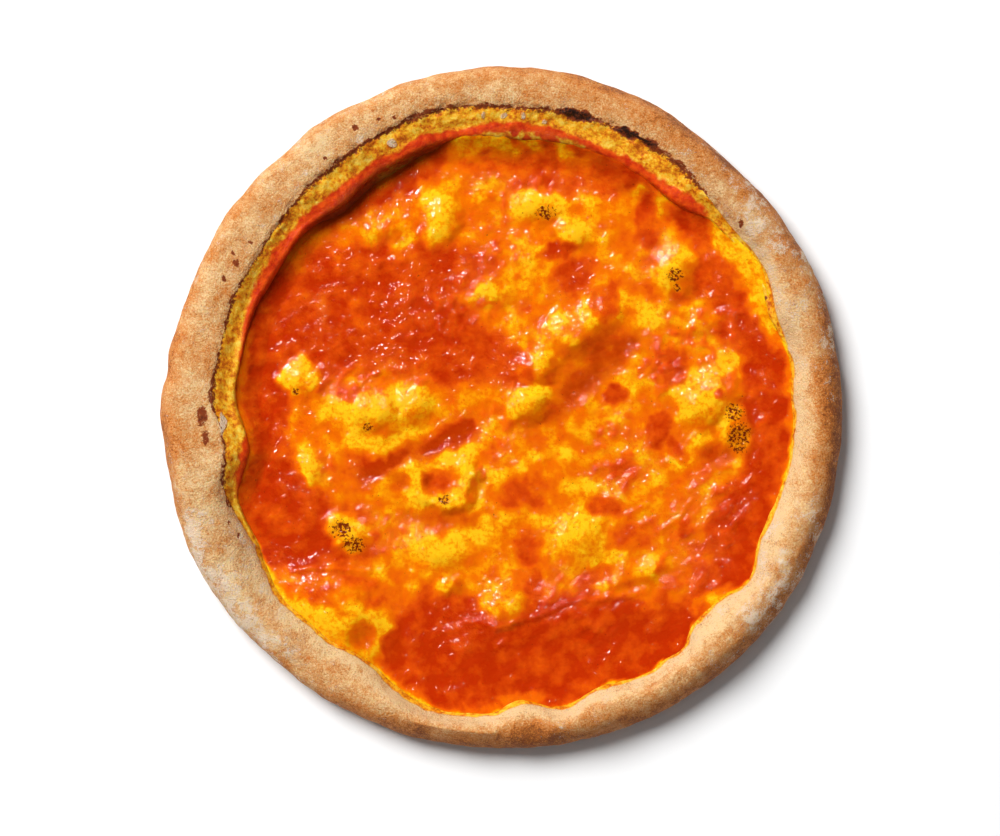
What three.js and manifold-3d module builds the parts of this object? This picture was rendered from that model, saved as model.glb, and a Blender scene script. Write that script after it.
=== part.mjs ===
// A round tomato pizza base, 30 cm across, in millimetres with +Z up.
//
// It lies on the plane z = 0 with its middle over the origin. +Y is the back, where the rim has puffed up
// most and torn open along its inner lip. At the front and on the right the rim is a plain round roll that
// the sauce runs up to. The dough's floor has blisters, and the higher ones stand clear of the sauce.
//
// There are two solids: the crust, which is the floor and the rim in one piece of dough, and the sauce.
import * as THREE from "three";
import { mergeVertices } from "three/addons/utils/BufferGeometryUtils.js";
import Module from "manifold-3d";

const { degToRad, euclideanModulo, lerp, smoothstep } = THREE.MathUtils;

// Driving sizes.
const OUTER_RADIUS = 150;
const LIP_RADIUS = 128; // where the rim's top ends
const ROLL_HEIGHT = 19.5; // the rim's crest where it is a round roll
const TORN_HEIGHT = 23; // and where it has puffed up and torn
const FLOOR_HEIGHT = 5; // dough under the sauce
const SAUCE_LEVEL = 8;
const LEDGE_HEIGHT = 15.5; // the red ledge that the risen sauce left on the torn wall
const HEEL_INSET = 15; // from the widest line of the rim in to where it lies flat
const CREST_INSET = 10.5; // and in to its crest
const SLIT = 0.3; // clear space between the dough and the sauce

// Fineness of the faceted surfaces.
const ANGLE_STEPS = 96;
const RIM_STEPS = 19;
const SAUCE_STEPS = 60;
const SAUCE_RINGS = 7;
const BLISTER_SIDES = 12;
const BLISTER_ROWS = 4;
const DENT_SIDES = 10;
const HORSESHOE_STEPS = 14;

// Swellings of the outer edge, of the lip and of the crest: the angle that each lies at, half its spread, and
// how far it pushes the line out, or up. Angles run anticlockwise from +X, in degrees.
const OUTER_SWELLINGS = [
  { at: 48, half: 30, push: -2.2 },
  { at: 63, half: 11, push: 1.1 },
  { at: 88, half: 24, push: 1.3 },
  { at: 113, half: 7, push: -1.4 },
  { at: 130, half: 7, push: -1.8 },
  { at: 141, half: 7, push: -1 },
  { at: 158, half: 20, push: -2 },
  { at: 174, half: 4, push: -1.3 },
  { at: 182, half: 6, push: 1 },
  { at: 211, half: 22, push: 1.7 },
  { at: 281, half: 16, push: 0.9 },
  { at: 318, half: 45, push: 2.2 },
];
const LIP_SWELLINGS = [
  { at: 10, half: 8, push: 1.6 },
  { at: 64, half: 30, push: 6.8 },
  { at: 75, half: 6, push: 1.6 },
  { at: 99, half: 30, push: 6.2 },
  { at: 119, half: 8, push: 1 },
  { at: 148, half: 20, push: -1.8 },
  { at: 166, half: 6, push: -1.4 },
  { at: 186, half: 12, push: -3.4 },
  { at: 206, half: 12, push: -2 },
  { at: 228, half: 8, push: -1.4 },
  { at: 260, half: 20, push: 9 },
  { at: 268, half: 5, push: 2 },
  { at: 281, half: 8, push: 5 },
  { at: 292, half: 26, push: 3.6 },
  { at: 300, half: 10, push: 3.6 },
  { at: 307, half: 5, push: 3.6 },
  { at: 325, half: 9, push: 5.2 },
  { at: 352, half: 22, push: 1.4 },
];
const CREST_SWELLINGS = [
  { at: 20, half: 16, push: -0.8 },
  { at: 62, half: 20, push: 1 },
  { at: 120, half: 24, push: 1.6 },
  { at: 165, half: 18, push: -1 },
  { at: 192, half: 14, push: 0.8 },
  { at: 230, half: 22, push: -1.6 },
  { at: 262, half: 11, push: 0.6 },
  { at: 276, half: 4, push: -1.8 }, // the crease across the front
  { at: 290, half: 10, push: 0.9 },
  { at: 314, half: 14, push: 1.2 },
  { at: 336, half: 10, push: 0.7 },
];

// Stretches of the rim that are torn, as shares that add up to 1.
const TORN_STRETCHES = [
  { from: 8, to: 214, soft: 12, amount: 0.45 },
  { from: 34, to: 206, soft: 16, amount: 0.55 },
];
// How far the torn wall leans in from the lip down to its foot: a little all round, and more along these.
const WALL_LEAN = 3.5;
const WALL_STRETCHES = [
  { from: 12, to: 205, soft: 10, amount: 4.5 },
  { from: 38, to: 140, soft: 14, amount: 9 },
  { from: 118, to: 204, soft: 16, amount: 4 },
];

// Blisters in the floor: the middle, the half sizes of what shows above the sauce, the turn in degrees, and
// how far the top stands above the sauce.
const BLISTERS = [
  { x: -89, y: 12, long: 10, wide: 9, turn: 0, rise: 1.6 },
  { x: -58, y: -1, long: 15, wide: 12, turn: -25, rise: 3 },
  { x: -40, y: 1, long: 11, wide: 10, turn: 0, rise: 2.6 },
  { x: -84, y: -26, long: 9, wide: 5, turn: 90, rise: 1.1 },
  { x: -68, y: -56, long: 11, wide: 8, turn: -40, rise: 2.2 },
  { x: -27, y: -63, long: 15, wide: 7, turn: -15, rise: 1.3 },
  { x: -22, y: -78, long: 6, wide: 4, turn: 0, rise: 1.5 },
  { x: 2, y: -86, long: 10, wide: 9, turn: 90, rise: 1.8 },
  { x: 12, y: 1, long: 11, wide: 9, turn: 40, rise: 3.3 },
  { x: 17, y: 18, long: 11, wide: 8, turn: 30, rise: 2.8 },
  { x: 35, y: 34, long: 19, wide: 11, turn: 28, rise: 3.8 },
  { x: 16, y: 88, long: 12, wide: 7, turn: -8, rise: 2 },
  { x: 31, y: 77, long: 9, wide: 6, turn: -20, rise: 1.5 },
  { x: 77, y: 61, long: 11, wide: 10, turn: 90, rise: 2.6 },
  { x: -27, y: 83, long: 13, wide: 8, turn: 84, rise: 2.2 },
  { x: -52, y: 79, long: 10, wide: 5, turn: 5, rise: 1.2 },
  { x: -6, y: 51, long: 12, wide: 6, turn: 0, rise: 1.3 },
  { x: 92, y: 3, long: 15, wide: 12, turn: 30, rise: 3.2 },
  { x: 103, y: -9, long: 10, wide: 7, turn: 80, rise: 2.6 },
  { x: 88, y: 36, long: 10, wide: 6, turn: 10, rise: 1.3 },
  { x: 35, y: -57, long: 13, wide: 10, turn: 70, rise: 1.7 },
  { x: 60, y: -73, long: 16, wide: 6, turn: 10, rise: 1.6 },
];
// The blister by the front left rim has burst, which leaves a crater in its top.
const BURST_BLISTER = { x: -71, y: -91, long: 28, wide: 17, turn: -38, rise: 4.6 };
const CRATER = { x: -61, y: -101, radius: 7, depth: 3.4 };
// One long blister is bent like a horseshoe, between two angles on a circle.
const HORSESHOE = { x: -25, y: -31, radius: 12, from: 175, to: 385, half: 4.6, rise: 2.1 };

// A blister is this many times as wide on the dough's floor as where it comes out of the sauce.
const BLISTER_SPREAD = 1.22;
const BLISTER_ROOT = 2; // and its foot is sunk this far into the floor

// Waves in the sauce, and the thick fold that it has along the front.
const WAVE_HEIGHT = 0.55;
const RIPPLE_HEIGHT = 0.3;
const FOLD = { y: -96, slope: 0.16, half: 9, from: -24, to: 84, soft: 20, height: 1.3 };

function bell(distance, half) {
  return Math.abs(distance) >= half ? 0 : 0.5 + 0.5 * Math.cos((Math.PI * distance) / half);
}

function angleBetween(a, b) {
  return euclideanModulo(a - b + 180, 360) - 180;
}

function swelling(angle, list) {
  return list.reduce((sum, s) => sum + s.push * bell(angleBetween(angle, s.at), s.half), 0);
}

// 1 between two values and 0 outside them, with soft ends.
function between(value, { from, to, soft }) {
  return smoothstep(value, from, from + soft) * (1 - smoothstep(value, to - soft, to));
}

function stretches(angle, list) {
  return list.reduce((sum, s) => sum + s.amount * between(euclideanModulo(angle, 360), s), 0);
}

// The rim's sizes at one angle. torn is 1 where the lip has torn open and 0 where the rim is a round roll.
function rimAt(angle) {
  const torn = stretches(angle, TORN_STRETCHES);
  return {
    torn,
    outer: OUTER_RADIUS + swelling(angle, OUTER_SWELLINGS),
    lip: LIP_RADIUS + swelling(angle, LIP_SWELLINGS),
    crest: lerp(ROLL_HEIGHT, TORN_HEIGHT, torn) + swelling(angle, CREST_SWELLINGS),
    wall: WALL_LEAN + stretches(angle, WALL_STRETCHES),
  };
}

// The rim's section at one angle, from its heel on the table, over the crest and down to the floor, as
// points of radius and height. The two lists are the two kinds of rim, point for point.
function rimSection(angle) {
  const { torn, outer, lip, crest, wall } = rimAt(angle);
  const roll = [
    [outer - HEEL_INSET, 0],
    [outer - 7, 0.8],
    [outer - 1.2, 4.6],
    [outer, 9],
    [outer - 2.2, 14],
    [outer - 6, crest - 1.3],
    [outer - CREST_INSET, crest],
    [lerp(outer - CREST_INSET, lip, 0.5), crest - 2.2],
    [lip + 2.2, SAUCE_LEVEL + 4.5],
    [lip, SAUCE_LEVEL + 1],
    [lip - 1.2, SAUCE_LEVEL - 0.8],
    [lip - 2.2, FLOOR_HEIGHT + 0.9],
    [lip - 3.5, FLOOR_HEIGHT],
  ];
  const tear = [
    [outer - HEEL_INSET, 0],
    [outer - 6, 0.8],
    [outer - 0.9, 5],
    [outer, 11],
    [outer - 1.6, 17],
    [outer - 5, crest - 1.4],
    [outer - CREST_INSET, crest],
    [lip + 3.5, crest - 0.2],
    [lip, crest - 1.5],
    [lip - 0.42 * wall, crest - 5.5],
    [lip - 0.74 * wall, LEDGE_HEIGHT],
    [lip - 0.8 * wall, LEDGE_HEIGHT - 4.5],
    [lip - wall, FLOOR_HEIGHT],
  ];
  const points = roll.map(([r, z], i) => {
    return new THREE.Vector2(lerp(r, tear[i][0], torn), lerp(z, tear[i][1], torn));
  });
  return new THREE.SplineCurve(points).getPoints(RIM_STEPS).map((p) => {
    return new THREE.Vector2(p.x, Math.max(p.y, 0));
  });
}

// Moves each point of a section out along its own normal, so that the sauce can be cut with a little slit.
function grownSection(section, by) {
  return section.map((p, i) => {
    const before = section[Math.max(i - 1, 0)];
    const after = section[Math.min(i + 1, section.length - 1)];
    const along = after.clone().sub(before).normalize();
    return new THREE.Vector2(p.x + along.y * by, p.y - along.x * by);
  });
}

// A surface of revolution whose section changes with the angle.
function spin(sectionAt, steps) {
  const sample = sectionAt(-90);
  const geometry = new THREE.LatheGeometry(sample, steps);
  const place = geometry.attributes.position;
  for (let i = 0; i <= steps; i += 1) {
    const turn = (i % steps) * ((2 * Math.PI) / steps);
    const section = sectionAt(THREE.MathUtils.radToDeg(turn) - 90);
    section.forEach((p, j) => {
      place.setXYZ(i * sample.length + j, p.x * Math.sin(turn), p.y, p.x * Math.cos(turn));
    });
  }
  return geometry.rotateX(Math.PI / 2);
}

const wasm = await Module();
wasm.setup();

function toSolid(geometry) {
  geometry.deleteAttribute("normal");
  geometry.deleteAttribute("uv");
  const merged = mergeVertices(geometry, 1e-4);
  return new wasm.Manifold(new wasm.Mesh({
    numProp: 3,
    vertProperties: merged.attributes.position.array,
    triVerts: new Uint32Array(merged.index.array),
  }));
}

function toGeometry(solid) {
  const mesh = solid.getMesh();
  const geometry = new THREE.BufferGeometry();
  geometry.setAttribute("position", new THREE.BufferAttribute(mesh.vertProperties, 3));
  geometry.setIndex(new THREE.BufferAttribute(mesh.triVerts, 1));
  geometry.computeVertexNormals();
  return geometry;
}

// Half an egg, flat side down, with its foot sunk into the floor.
function blister(b, grow) {
  const high = SAUCE_LEVEL + b.rise - FLOOR_HEIGHT + grow;
  const side = Array.from({ length: BLISTER_ROWS + 1 }, (_, i) => {
    const climb = (i / BLISTER_ROWS) * (Math.PI / 2);
    return new THREE.Vector2(Math.cos(climb), high * Math.sin(climb));
  });
  const foot = [new THREE.Vector2(0, -BLISTER_ROOT), new THREE.Vector2(1, -BLISTER_ROOT)];
  const dome = new THREE.LatheGeometry([...foot, ...side], BLISTER_SIDES);
  dome.rotateX(Math.PI / 2);
  dome.scale(b.long * BLISTER_SPREAD + grow, b.wide * BLISTER_SPREAD + grow, 1);
  dome.rotateZ(degToRad(b.turn));
  dome.translate(b.x, b.y, FLOOR_HEIGHT);
  return toSolid(dome);
}

// The bent blister is a ridge along the arc, with half an egg on each end.
function horseshoe(grow) {
  const { x, y, radius, from, to, half, rise } = HORSESHOE;
  const points = Array.from({ length: HORSESHOE_STEPS + 1 }, (_, i) => {
    const angle = degToRad(lerp(from, to, i / HORSESHOE_STEPS));
    return new THREE.Vector3(x + radius * Math.cos(angle), y + radius * Math.sin(angle), 0);
  });
  const thick = half * BLISTER_SPREAD + grow;
  const high = SAUCE_LEVEL + rise - FLOOR_HEIGHT + grow;
  const ridge = new THREE.ExtrudeGeometry(new THREE.Shape().absarc(0, 0, thick, 0, 2 * Math.PI), {
    extrudePath: new THREE.CatmullRomCurve3(points),
    steps: HORSESHOE_STEPS,
    curveSegments: BLISTER_SIDES,
  });
  ridge.scale(1, 1, high / thick);
  const place = ridge.attributes.position;
  for (let i = 0; i < place.count; i += 1) {
    place.setZ(i, Math.max(place.getZ(i), -BLISTER_ROOT));
  }
  ridge.translate(0, 0, FLOOR_HEIGHT);
  const end = { long: half, wide: half, turn: 0, rise };
  return [
    toSolid(ridge),
    blister({ ...end, x: points[0].x, y: points[0].y }, grow),
    blister({ ...end, x: points.at(-1).x, y: points.at(-1).y }, grow),
  ];
}

function burstBlister(grow) {
  const { x, y, radius, depth } = CRATER;
  const top = SAUCE_LEVEL + BURST_BLISTER.rise;
  const dent = new THREE.SphereGeometry(radius - grow, DENT_SIDES, DENT_SIDES / 2);
  dent.rotateX(Math.PI / 2);
  dent.translate(x, y, top - depth + radius);
  return blister(BURST_BLISTER, grow).subtract(toSolid(dent));
}

// The dough in one piece: the floor and the rim, with the blisters joined on. grow makes it a little larger
// all over, which gives the tool that cuts the sauce.
function doughSolid(grow) {
  const base = toSolid(spin((angle) => {
    const section = rimSection(angle);
    const sized = grow ? grownSection(section, grow) : section;
    return [new THREE.Vector2(0, -grow), ...sized, new THREE.Vector2(0, FLOOR_HEIGHT + grow)];
  }, ANGLE_STEPS));
  const raised = [...BLISTERS.map((b) => blister(b, grow)), ...horseshoe(grow), burstBlister(grow)];
  return wasm.Manifold.union([base, ...raised]);
}

// The sauce's top at one place: slow waves, finer ripples and the fold.
function sauceHeight(x, y) {
  const waves = Math.sin(x / 15 + 1.4 * Math.sin(y / 21)) * Math.cos(y / 13 - 0.9 * Math.sin(x / 24));
  const ripples = Math.sin(x / 7 + y / 11) * Math.cos(y / 8 - x / 13);
  const fold = bell(y - FOLD.y - FOLD.slope * x, 2 * FOLD.half) * between(x, FOLD);
  return SAUCE_LEVEL + WAVE_HEIGHT * waves + RIPPLE_HEIGHT * ripples + FOLD.height * fold;
}

// A slab of sauce with a wavy top. It reaches into the rim, where the dough then cuts it to shape.
function sauceSlab() {
  const overlap = 1.5;
  return toSolid(spin((angle) => {
    const { lip, wall, torn } = rimAt(angle);
    const edge = lerp(lip, lip - 0.8 * wall, torn) + overlap;
    const turn = degToRad(angle);
    const rings = Array.from({ length: SAUCE_RINGS + 1 }, (_, i) => edge * (1 - i / SAUCE_RINGS));
    const top = rings.map((r) => {
      return new THREE.Vector2(r, sauceHeight(r * Math.cos(turn), r * Math.sin(turn)));
    });
    return [new THREE.Vector2(0, FLOOR_HEIGHT - 1), new THREE.Vector2(edge, FLOOR_HEIGHT - 1), ...top];
  }, SAUCE_STEPS));
}

// The sauce is what the grown dough leaves of the slab, less any loose scrap.
function sauceSolid() {
  const left = sauceSlab().subtract(doughSolid(SLIT)).decompose();
  return left.reduce((most, piece) => (piece.volume() > most.volume() ? piece : most));
}

function crust() {
  const baked = new THREE.MeshStandardMaterial({ color: 0xe0b07a, roughness: 0.85, metalness: 0 });
  const mesh = new THREE.Mesh(toGeometry(doughSolid(0)), baked);
  mesh.name = "crust";
  return mesh;
}

function tomatoSauce() {
  const wet = new THREE.MeshStandardMaterial({ color: 0xd04a12, roughness: 0.3, metalness: 0 });
  const mesh = new THREE.Mesh(toGeometry(sauceSolid()), wet);
  mesh.name = "tomato_sauce";
  return mesh;
}

const pizzaBase = new THREE.Group();
pizzaBase.add(crust(), tomatoSauce());

export default pizzaBase;
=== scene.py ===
# %% [markdown]
# A tomato pizza base, 30 cm across, seen from nearly straight above. Two pieces make it: the baked crust,
# and the wet sauce inside its rim. Both are worked out in millimetres from a few sizes, nearly all of
# them the sizes of the solid model that they dress, and turned into metres at the end. It lies on a white
# floor, in a soft light from the upper left.

# %% Load the model that the pieces have to fit
import math

import bmesh
import bpy
import numpy as np
from mathutils import Matrix, Vector


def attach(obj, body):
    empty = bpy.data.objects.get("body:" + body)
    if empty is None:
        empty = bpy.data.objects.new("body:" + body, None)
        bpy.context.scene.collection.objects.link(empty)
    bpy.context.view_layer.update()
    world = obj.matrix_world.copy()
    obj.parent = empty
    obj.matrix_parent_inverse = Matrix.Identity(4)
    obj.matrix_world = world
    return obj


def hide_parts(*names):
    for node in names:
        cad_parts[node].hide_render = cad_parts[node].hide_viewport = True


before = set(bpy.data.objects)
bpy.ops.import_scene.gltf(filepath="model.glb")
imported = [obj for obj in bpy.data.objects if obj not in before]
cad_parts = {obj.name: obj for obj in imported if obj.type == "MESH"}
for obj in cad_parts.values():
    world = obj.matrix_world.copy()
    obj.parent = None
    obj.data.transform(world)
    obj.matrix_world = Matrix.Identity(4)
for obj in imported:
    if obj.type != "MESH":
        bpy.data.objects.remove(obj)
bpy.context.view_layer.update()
MM = 0.001

# %% [markdown]
# The camera looks almost straight down, leaning a little to the lower right, so that the inner wall at
# the upper left and the outer side at the lower right both show. A long lens keeps the circle round.

# %% Camera
PICTURE_WIDTH, PICTURE_HEIGHT = 1000, 836
BASE_MIDDLE_PX = (500.5, 406.5)  # where the base's middle lies in the photograph
MM_PER_PX = 150 / 340
VIEW_DISTANCE = 1.6
VIEW_LEAN = math.radians(5)
VIEW_FROM = math.radians(-45)
LOOK_HEIGHT = 10 * MM


def look_from(lean, heading, distance, target):
    """The placing of a camera that looks down at target, with +Y towards the top of its picture."""
    back = Vector((
        math.sin(lean) * math.cos(heading),
        math.sin(lean) * math.sin(heading),
        math.cos(lean),
    ))
    right = Vector((0, 1, 0)).cross(back).normalized()
    up = back.cross(right)
    placing = Matrix((right, up, back)).transposed().to_4x4()
    placing.translation = target + back * distance
    return placing


camera_data = bpy.data.cameras.new("overhead_camera")
camera_data.sensor_width = 36
camera_data.lens = camera_data.sensor_width * VIEW_DISTANCE / (PICTURE_WIDTH * MM_PER_PX * MM)
camera_data.clip_end = 50
camera = bpy.data.objects.new("overhead_camera", camera_data)
bpy.context.scene.collection.objects.link(camera)
target = Vector((
    (PICTURE_WIDTH / 2 - BASE_MIDDLE_PX[0]) * MM_PER_PX * MM,
    (BASE_MIDDLE_PX[1] - PICTURE_HEIGHT / 2) * MM_PER_PX * MM,
    LOOK_HEIGHT,
))
camera.matrix_world = look_from(VIEW_LEAN, VIEW_FROM, VIEW_DISTANCE, target)
bpy.context.scene.camera = camera
print("lens, mm:", round(camera_data.lens))

# %% [markdown]
# The rim of a hand-stretched base is never a true circle. Its outer edge, its inner lip and its crest
# each swell and sink round the ring. A short list of swellings, each a smooth bell over some degrees,
# says this better than a long list of measured points, and one formula reads all three lists. A swelling
# is its angle, half its width in degrees, and how far it pushes. What holds from one angle to another,
# such as the tear, is a stretch: where it starts and ends, how soft its ends are, and an amount.

# %% Sizes of the base, in millimetres
OUTER_RADIUS = 150
LIP_RADIUS = 128
ROLL_HEIGHT = 19.5  # the rim's crest where it is a plain round roll
TORN_HEIGHT = 23  # and where it is torn open
FLOOR_HEIGHT = 5
SAUCE_LEVEL = 8
LEDGE_HEIGHT = 15.5  # the ledge on the torn wall
HEEL_INSET = 15  # from the outer edge in to where the rim leaves the table
CREST_INSET = 10.5  # from the outer edge in to the crest
LEAST_SLOPE = 7.5  # from the lip out to the crest where the rim is narrow
LEAST_CREST_INSET = 7  # and from the crest on to the outer edge there
OUTER_SWELLINGS = [
    (48, 30, -2.2), (63, 11, 1.1), (88, 24, 1.3), (113, 7, -1.4), (130, 7, -1.8), (141, 7, -1),
    (158, 20, -2), (174, 4, -1.3), (182, 6, 1), (211, 22, 1.7), (281, 16, 0.9), (318, 45, 2.2),
]
LIP_SWELLINGS = [
    (10, 8, 1.6), (28, 12, 3), (62, 28, 4.2), (88, 14, -1.5), (95, 36, 5.4), (148, 20, -2.4),
    (166, 10, -2), (174, 10, -1.4), (188, 12, -6), (208, 14, -2.8), (228, 8, -1.4), (240, 10, -1.4),
    (260, 20, 9), (268, 5, 2), (281, 8, 5), (292, 26, 3.6), (300, 10, 3.6), (307, 5, 3.6), (325, 9, 5.2),
    (352, 22, 1.4),
]
CREST_SWELLINGS = [
    (20, 16, -0.8), (62, 20, 1), (120, 24, 1.6), (165, 18, -1), (192, 14, 0.8), (230, 22, -1.6),
    (262, 11, 0.6), (276, 4, -1.8), (290, 10, 0.9), (314, 14, 1.2), (336, 10, 0.7),
]
TORN_STRETCHES = [(8, 214, 12, 0.45), (34, 206, 16, 0.55)]  # about half torn at its ends, then fully
WALL_LEAN = 3.5  # how far in the wall comes from the lip to the floor
WALL_STRETCHES = [(12, 205, 10, 4.5), (38, 140, 14, 9), (118, 204, 16, 4)]  # and how much further
print("base:", 2 * OUTER_RADIUS, "mm across, its rim", ROLL_HEIGHT, "to", TORN_HEIGHT, "mm high")


# %% Helpers that read the lists
def smooth(value, low, high):
    """0 below low, 1 above high, and a smooth climb between."""
    t = np.clip((value - low) / (high - low), 0, 1)
    return t * t * (3 - 2 * t)


def mix(a, b, t):
    return a + (b - a) * t


def bell(distance, half):
    return np.where(np.abs(distance) < half, 0.5 + 0.5 * np.cos(np.pi * distance / half), 0)


def turn_between(a, b):
    """The shorter way round from b to a, in degrees."""
    return (a - b + 180) % 360 - 180


def swelling(angle, swellings):
    return sum(push * bell(turn_between(angle, at), half) for at, half, push in swellings)


def between(value, low, high, soft):
    """1 between low and high, and 0 outside them, with soft ends inside."""
    return smooth(value, low, low + soft) * (1 - smooth(value, high - soft, high))


def stretches(angle, rows):
    return sum(amount * between(angle % 360, low, high, soft) for low, high, soft, amount in rows)


# %% [markdown]
# Dough and sauce are lumpy at every scale, so one helper makes lumps of any size. It is gradient noise,
# as in Blender's own Noise texture, but worked out on points so that it can move them. Space is cut into
# cells, each corner of a cell has a random slope, and a point gets a smooth mix of what its eight corners
# say. The seeds are fixed, so that it comes out the same every time.

# %% A helper that makes lumps
LUMP_GAIN = 1.6  # brings the noise to about -1 to 1
SEED_SHIFT = 17.13  # how many lumps apart two seeds read the noise
SHUFFLED = np.random.default_rng(5).permutation(256)
SLOPES = np.random.default_rng(6).normal(size=(256, 3))
SLOPES /= np.linalg.norm(SLOPES, axis=1, keepdims=True)


def lumps(points, size, seed):
    """Smooth noise from about -1 to 1 at each point, with lumps about size mm across."""
    place = points / size + seed * SEED_SHIFT
    cell = np.floor(place).astype(int)
    part = place - cell
    fade = part**3 * (part * (part * 6 - 15) + 10)
    total = np.zeros(len(points))
    for corner in np.ndindex(2, 2, 2):
        x, y, z = (cell + corner).T & 255
        slope = SLOPES[SHUFFLED[(SHUFFLED[(SHUFFLED[x] + y) & 255] + z) & 255]]
        pull = ((part - corner) * slope).sum(axis=1)
        total += pull * np.where(corner, fade, 1 - fade).prod(axis=1)
    return LUMP_GAIN * total


print("slopes for the lumps:", len(SLOPES))

# %% [markdown]
# A cut through the rim is one line: from the heel on the table, up the outer side, over the crest, down
# the inner side and onto the floor. There are two kinds. At the front and right the rim is a plain round
# roll. At the back and left it has puffed up and torn open along its lip, and the torn wall leans in to a
# ledge with a hollow under it. Both cuts have thirteen points that match, so the rim can change from one
# to the other round the ring. A smooth curve runs through the points.

# %% The cut through the rim
LIP_POINT, FOOT_POINT = 8, 12


def rim_sizes(angle):
    """Torn share, outer radius, lip radius, crest height and the wall's lean at each angle in degrees."""
    torn = stretches(angle, TORN_STRETCHES)
    return (
        torn,
        OUTER_RADIUS + swelling(angle, OUTER_SWELLINGS),
        LIP_RADIUS + swelling(angle, LIP_SWELLINGS),
        mix(ROLL_HEIGHT, TORN_HEIGHT, torn) + swelling(angle, CREST_SWELLINGS),
        WALL_LEAN + stretches(angle, WALL_STRETCHES),
    )


def rim_points(angle):
    """The thirteen points of the cut at each angle, as two arrays: radius and height."""
    torn, outer, lip, crest, wall = rim_sizes(angle)
    crest_radius = np.clip(lip + LEAST_SLOPE, outer - CREST_INSET, outer - LEAST_CREST_INSET)
    same = np.ones_like(angle)
    roll = [
        (outer - HEEL_INSET, 0 * same),
        (outer - 7, 0.8 * same),
        (outer - 1.2, 4.6 * same),
        (outer, 9 * same),
        (outer - 1.7, 14.4 * same),
        (outer - 5.2, crest - 1.2),
        (crest_radius, crest),
        (mix(crest_radius, lip + 2.2, 0.5), crest - 2.2),
        (lip + 2.2, (SAUCE_LEVEL + 4.5) * same),
        (lip, (SAUCE_LEVEL + 1) * same),
        (lip - 1.2, (SAUCE_LEVEL - 0.8) * same),
        (lip - 2.2, (FLOOR_HEIGHT + 0.9) * same),
        (lip - 3.5, FLOOR_HEIGHT * same),
    ]
    tear = [
        (outer - HEEL_INSET, 0 * same),
        (outer - 6, 0.8 * same),
        (outer - 0.9, 5 * same),
        (outer, 11 * same),
        (outer - 1.6, 17 * same),
        (outer - 5, crest - 1.4),
        (outer - CREST_INSET, crest),
        (lip + 3.5, crest - 0.2),
        (lip, crest - 1.5),
        (lip - 0.42 * wall, crest - 5.5),
        (lip - 0.74 * wall, LEDGE_HEIGHT * same),
        (lip - 0.8 * wall, (LEDGE_HEIGHT - 4.5) * same),
        (lip - wall, FLOOR_HEIGHT * same),
    ]
    radius = np.array([mix(r[0], t[0], torn) for r, t in zip(roll, tear)])
    height = np.array([mix(r[1], t[1], torn) for r, t in zip(roll, tear)])
    return radius, height


def along_curve(values, place):
    """The smooth curve through rows of values, at a place counted in rows."""
    last = len(values) - 1
    i = min(int(place), last - 1)
    t = place - i
    before, here, there, after = values[max(i - 1, 0)], values[i], values[i + 1], values[min(i + 2, last)]
    out, arrive = (there - before) / 2, (after - here) / 2
    cubed = 2 * here - 2 * there + out + arrive
    squared = 3 * there - 3 * here - 2 * out - arrive
    return cubed * t**3 + squared * t**2 + out * t + here


for side, side_angle in (("right", 0), ("back", 90), ("left", 180), ("front", 270)):
    _, outer, lip, crest, _ = rim_sizes(side_angle)
    print("rim at the", side, round(float(outer - lip)), "mm wide,", round(float(crest)), "mm high")

# %% [markdown]
# The crust is one closed skin. A grid is rolled up into a flat disc, whose rings are then lifted into
# place: each ring is one place along the cut, and each spoke is one angle. The rings lie close together
# where the skin shows, and far apart under the base and under the sauce. Modelling it as a torus and
# pushing that about would give no hold on the torn wall.

# %% Roll up the crust's skin
SPOKES = 1040
RINGS_PER_STRETCH = [3, 5, 8, 8, 8, 8, 11, 9, 10, 8, 6, 5]
UNDER_RINGS = 2  # under the base, where nothing shows
FLOOR_SHARE = 0.8  # the last ring lies this far out on the floor, under the sauce

ring_places = [0.0]
for stretch, rings in enumerate(RINGS_PER_STRETCH):
    ring_places += [stretch + (i + 1) / rings for i in range(rings)]
last_ring = UNDER_RINGS + len(ring_places)


def rolled_disc(rings, spokes):
    """A flat disc whose ring k has the radius k, rolled up from a grid and joined along its seam."""
    disc = bmesh.new()
    bmesh.ops.create_grid(disc, x_segments=spokes, y_segments=rings, size=1)
    for vertex in disc.verts:
        angle = math.pi * vertex.co.x
        radius = rings * (vertex.co.y + 1) / 2
        vertex.co = (radius * math.cos(angle), radius * math.sin(angle), 0)
    bmesh.ops.remove_doubles(disc, verts=disc.verts[:], dist=0.0001)
    return disc


def where_on_disc(disc):
    """Ring and spoke numbers of each point of a flat disc."""
    flat = np.array([v.co[:] for v in disc.verts])
    ring = np.rint(np.hypot(flat[:, 0], flat[:, 1])).astype(int)
    spoke = np.rint(np.arctan2(flat[:, 1], flat[:, 0]) / (2 * math.pi) * SPOKES).astype(int) % SPOKES
    return ring, spoke


crust_mesh = rolled_disc(last_ring, SPOKES)
ring, spoke = where_on_disc(crust_mesh)
spoke_angle = np.arange(SPOKES) * 360 / SPOKES
radius_points, height_points = rim_points(spoke_angle)
print("crust points:", len(crust_mesh.verts))


# %% Lift the rings into place
def ring_rows(points, under, floor):
    """One row of values for each ring, scaled by under beneath the base and by floor at the last ring."""
    skin = [along_curve(points, place) for place in ring_places]
    inner = [skin[0] * under * i / UNDER_RINGS for i in range(UNDER_RINGS)]
    return np.array(inner + skin + [skin[-1] * floor])


ring_radius = ring_rows(radius_points, 1, FLOOR_SHARE)
ring_height = np.maximum(ring_rows(height_points, 0, 1), 0)
place_of_ring = np.array([0.0] * UNDER_RINGS + ring_places + [float(FOOT_POINT)])


def put(mesh, points):
    for vertex, point in zip(mesh.verts, points.tolist()):
        vertex.co = point


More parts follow.
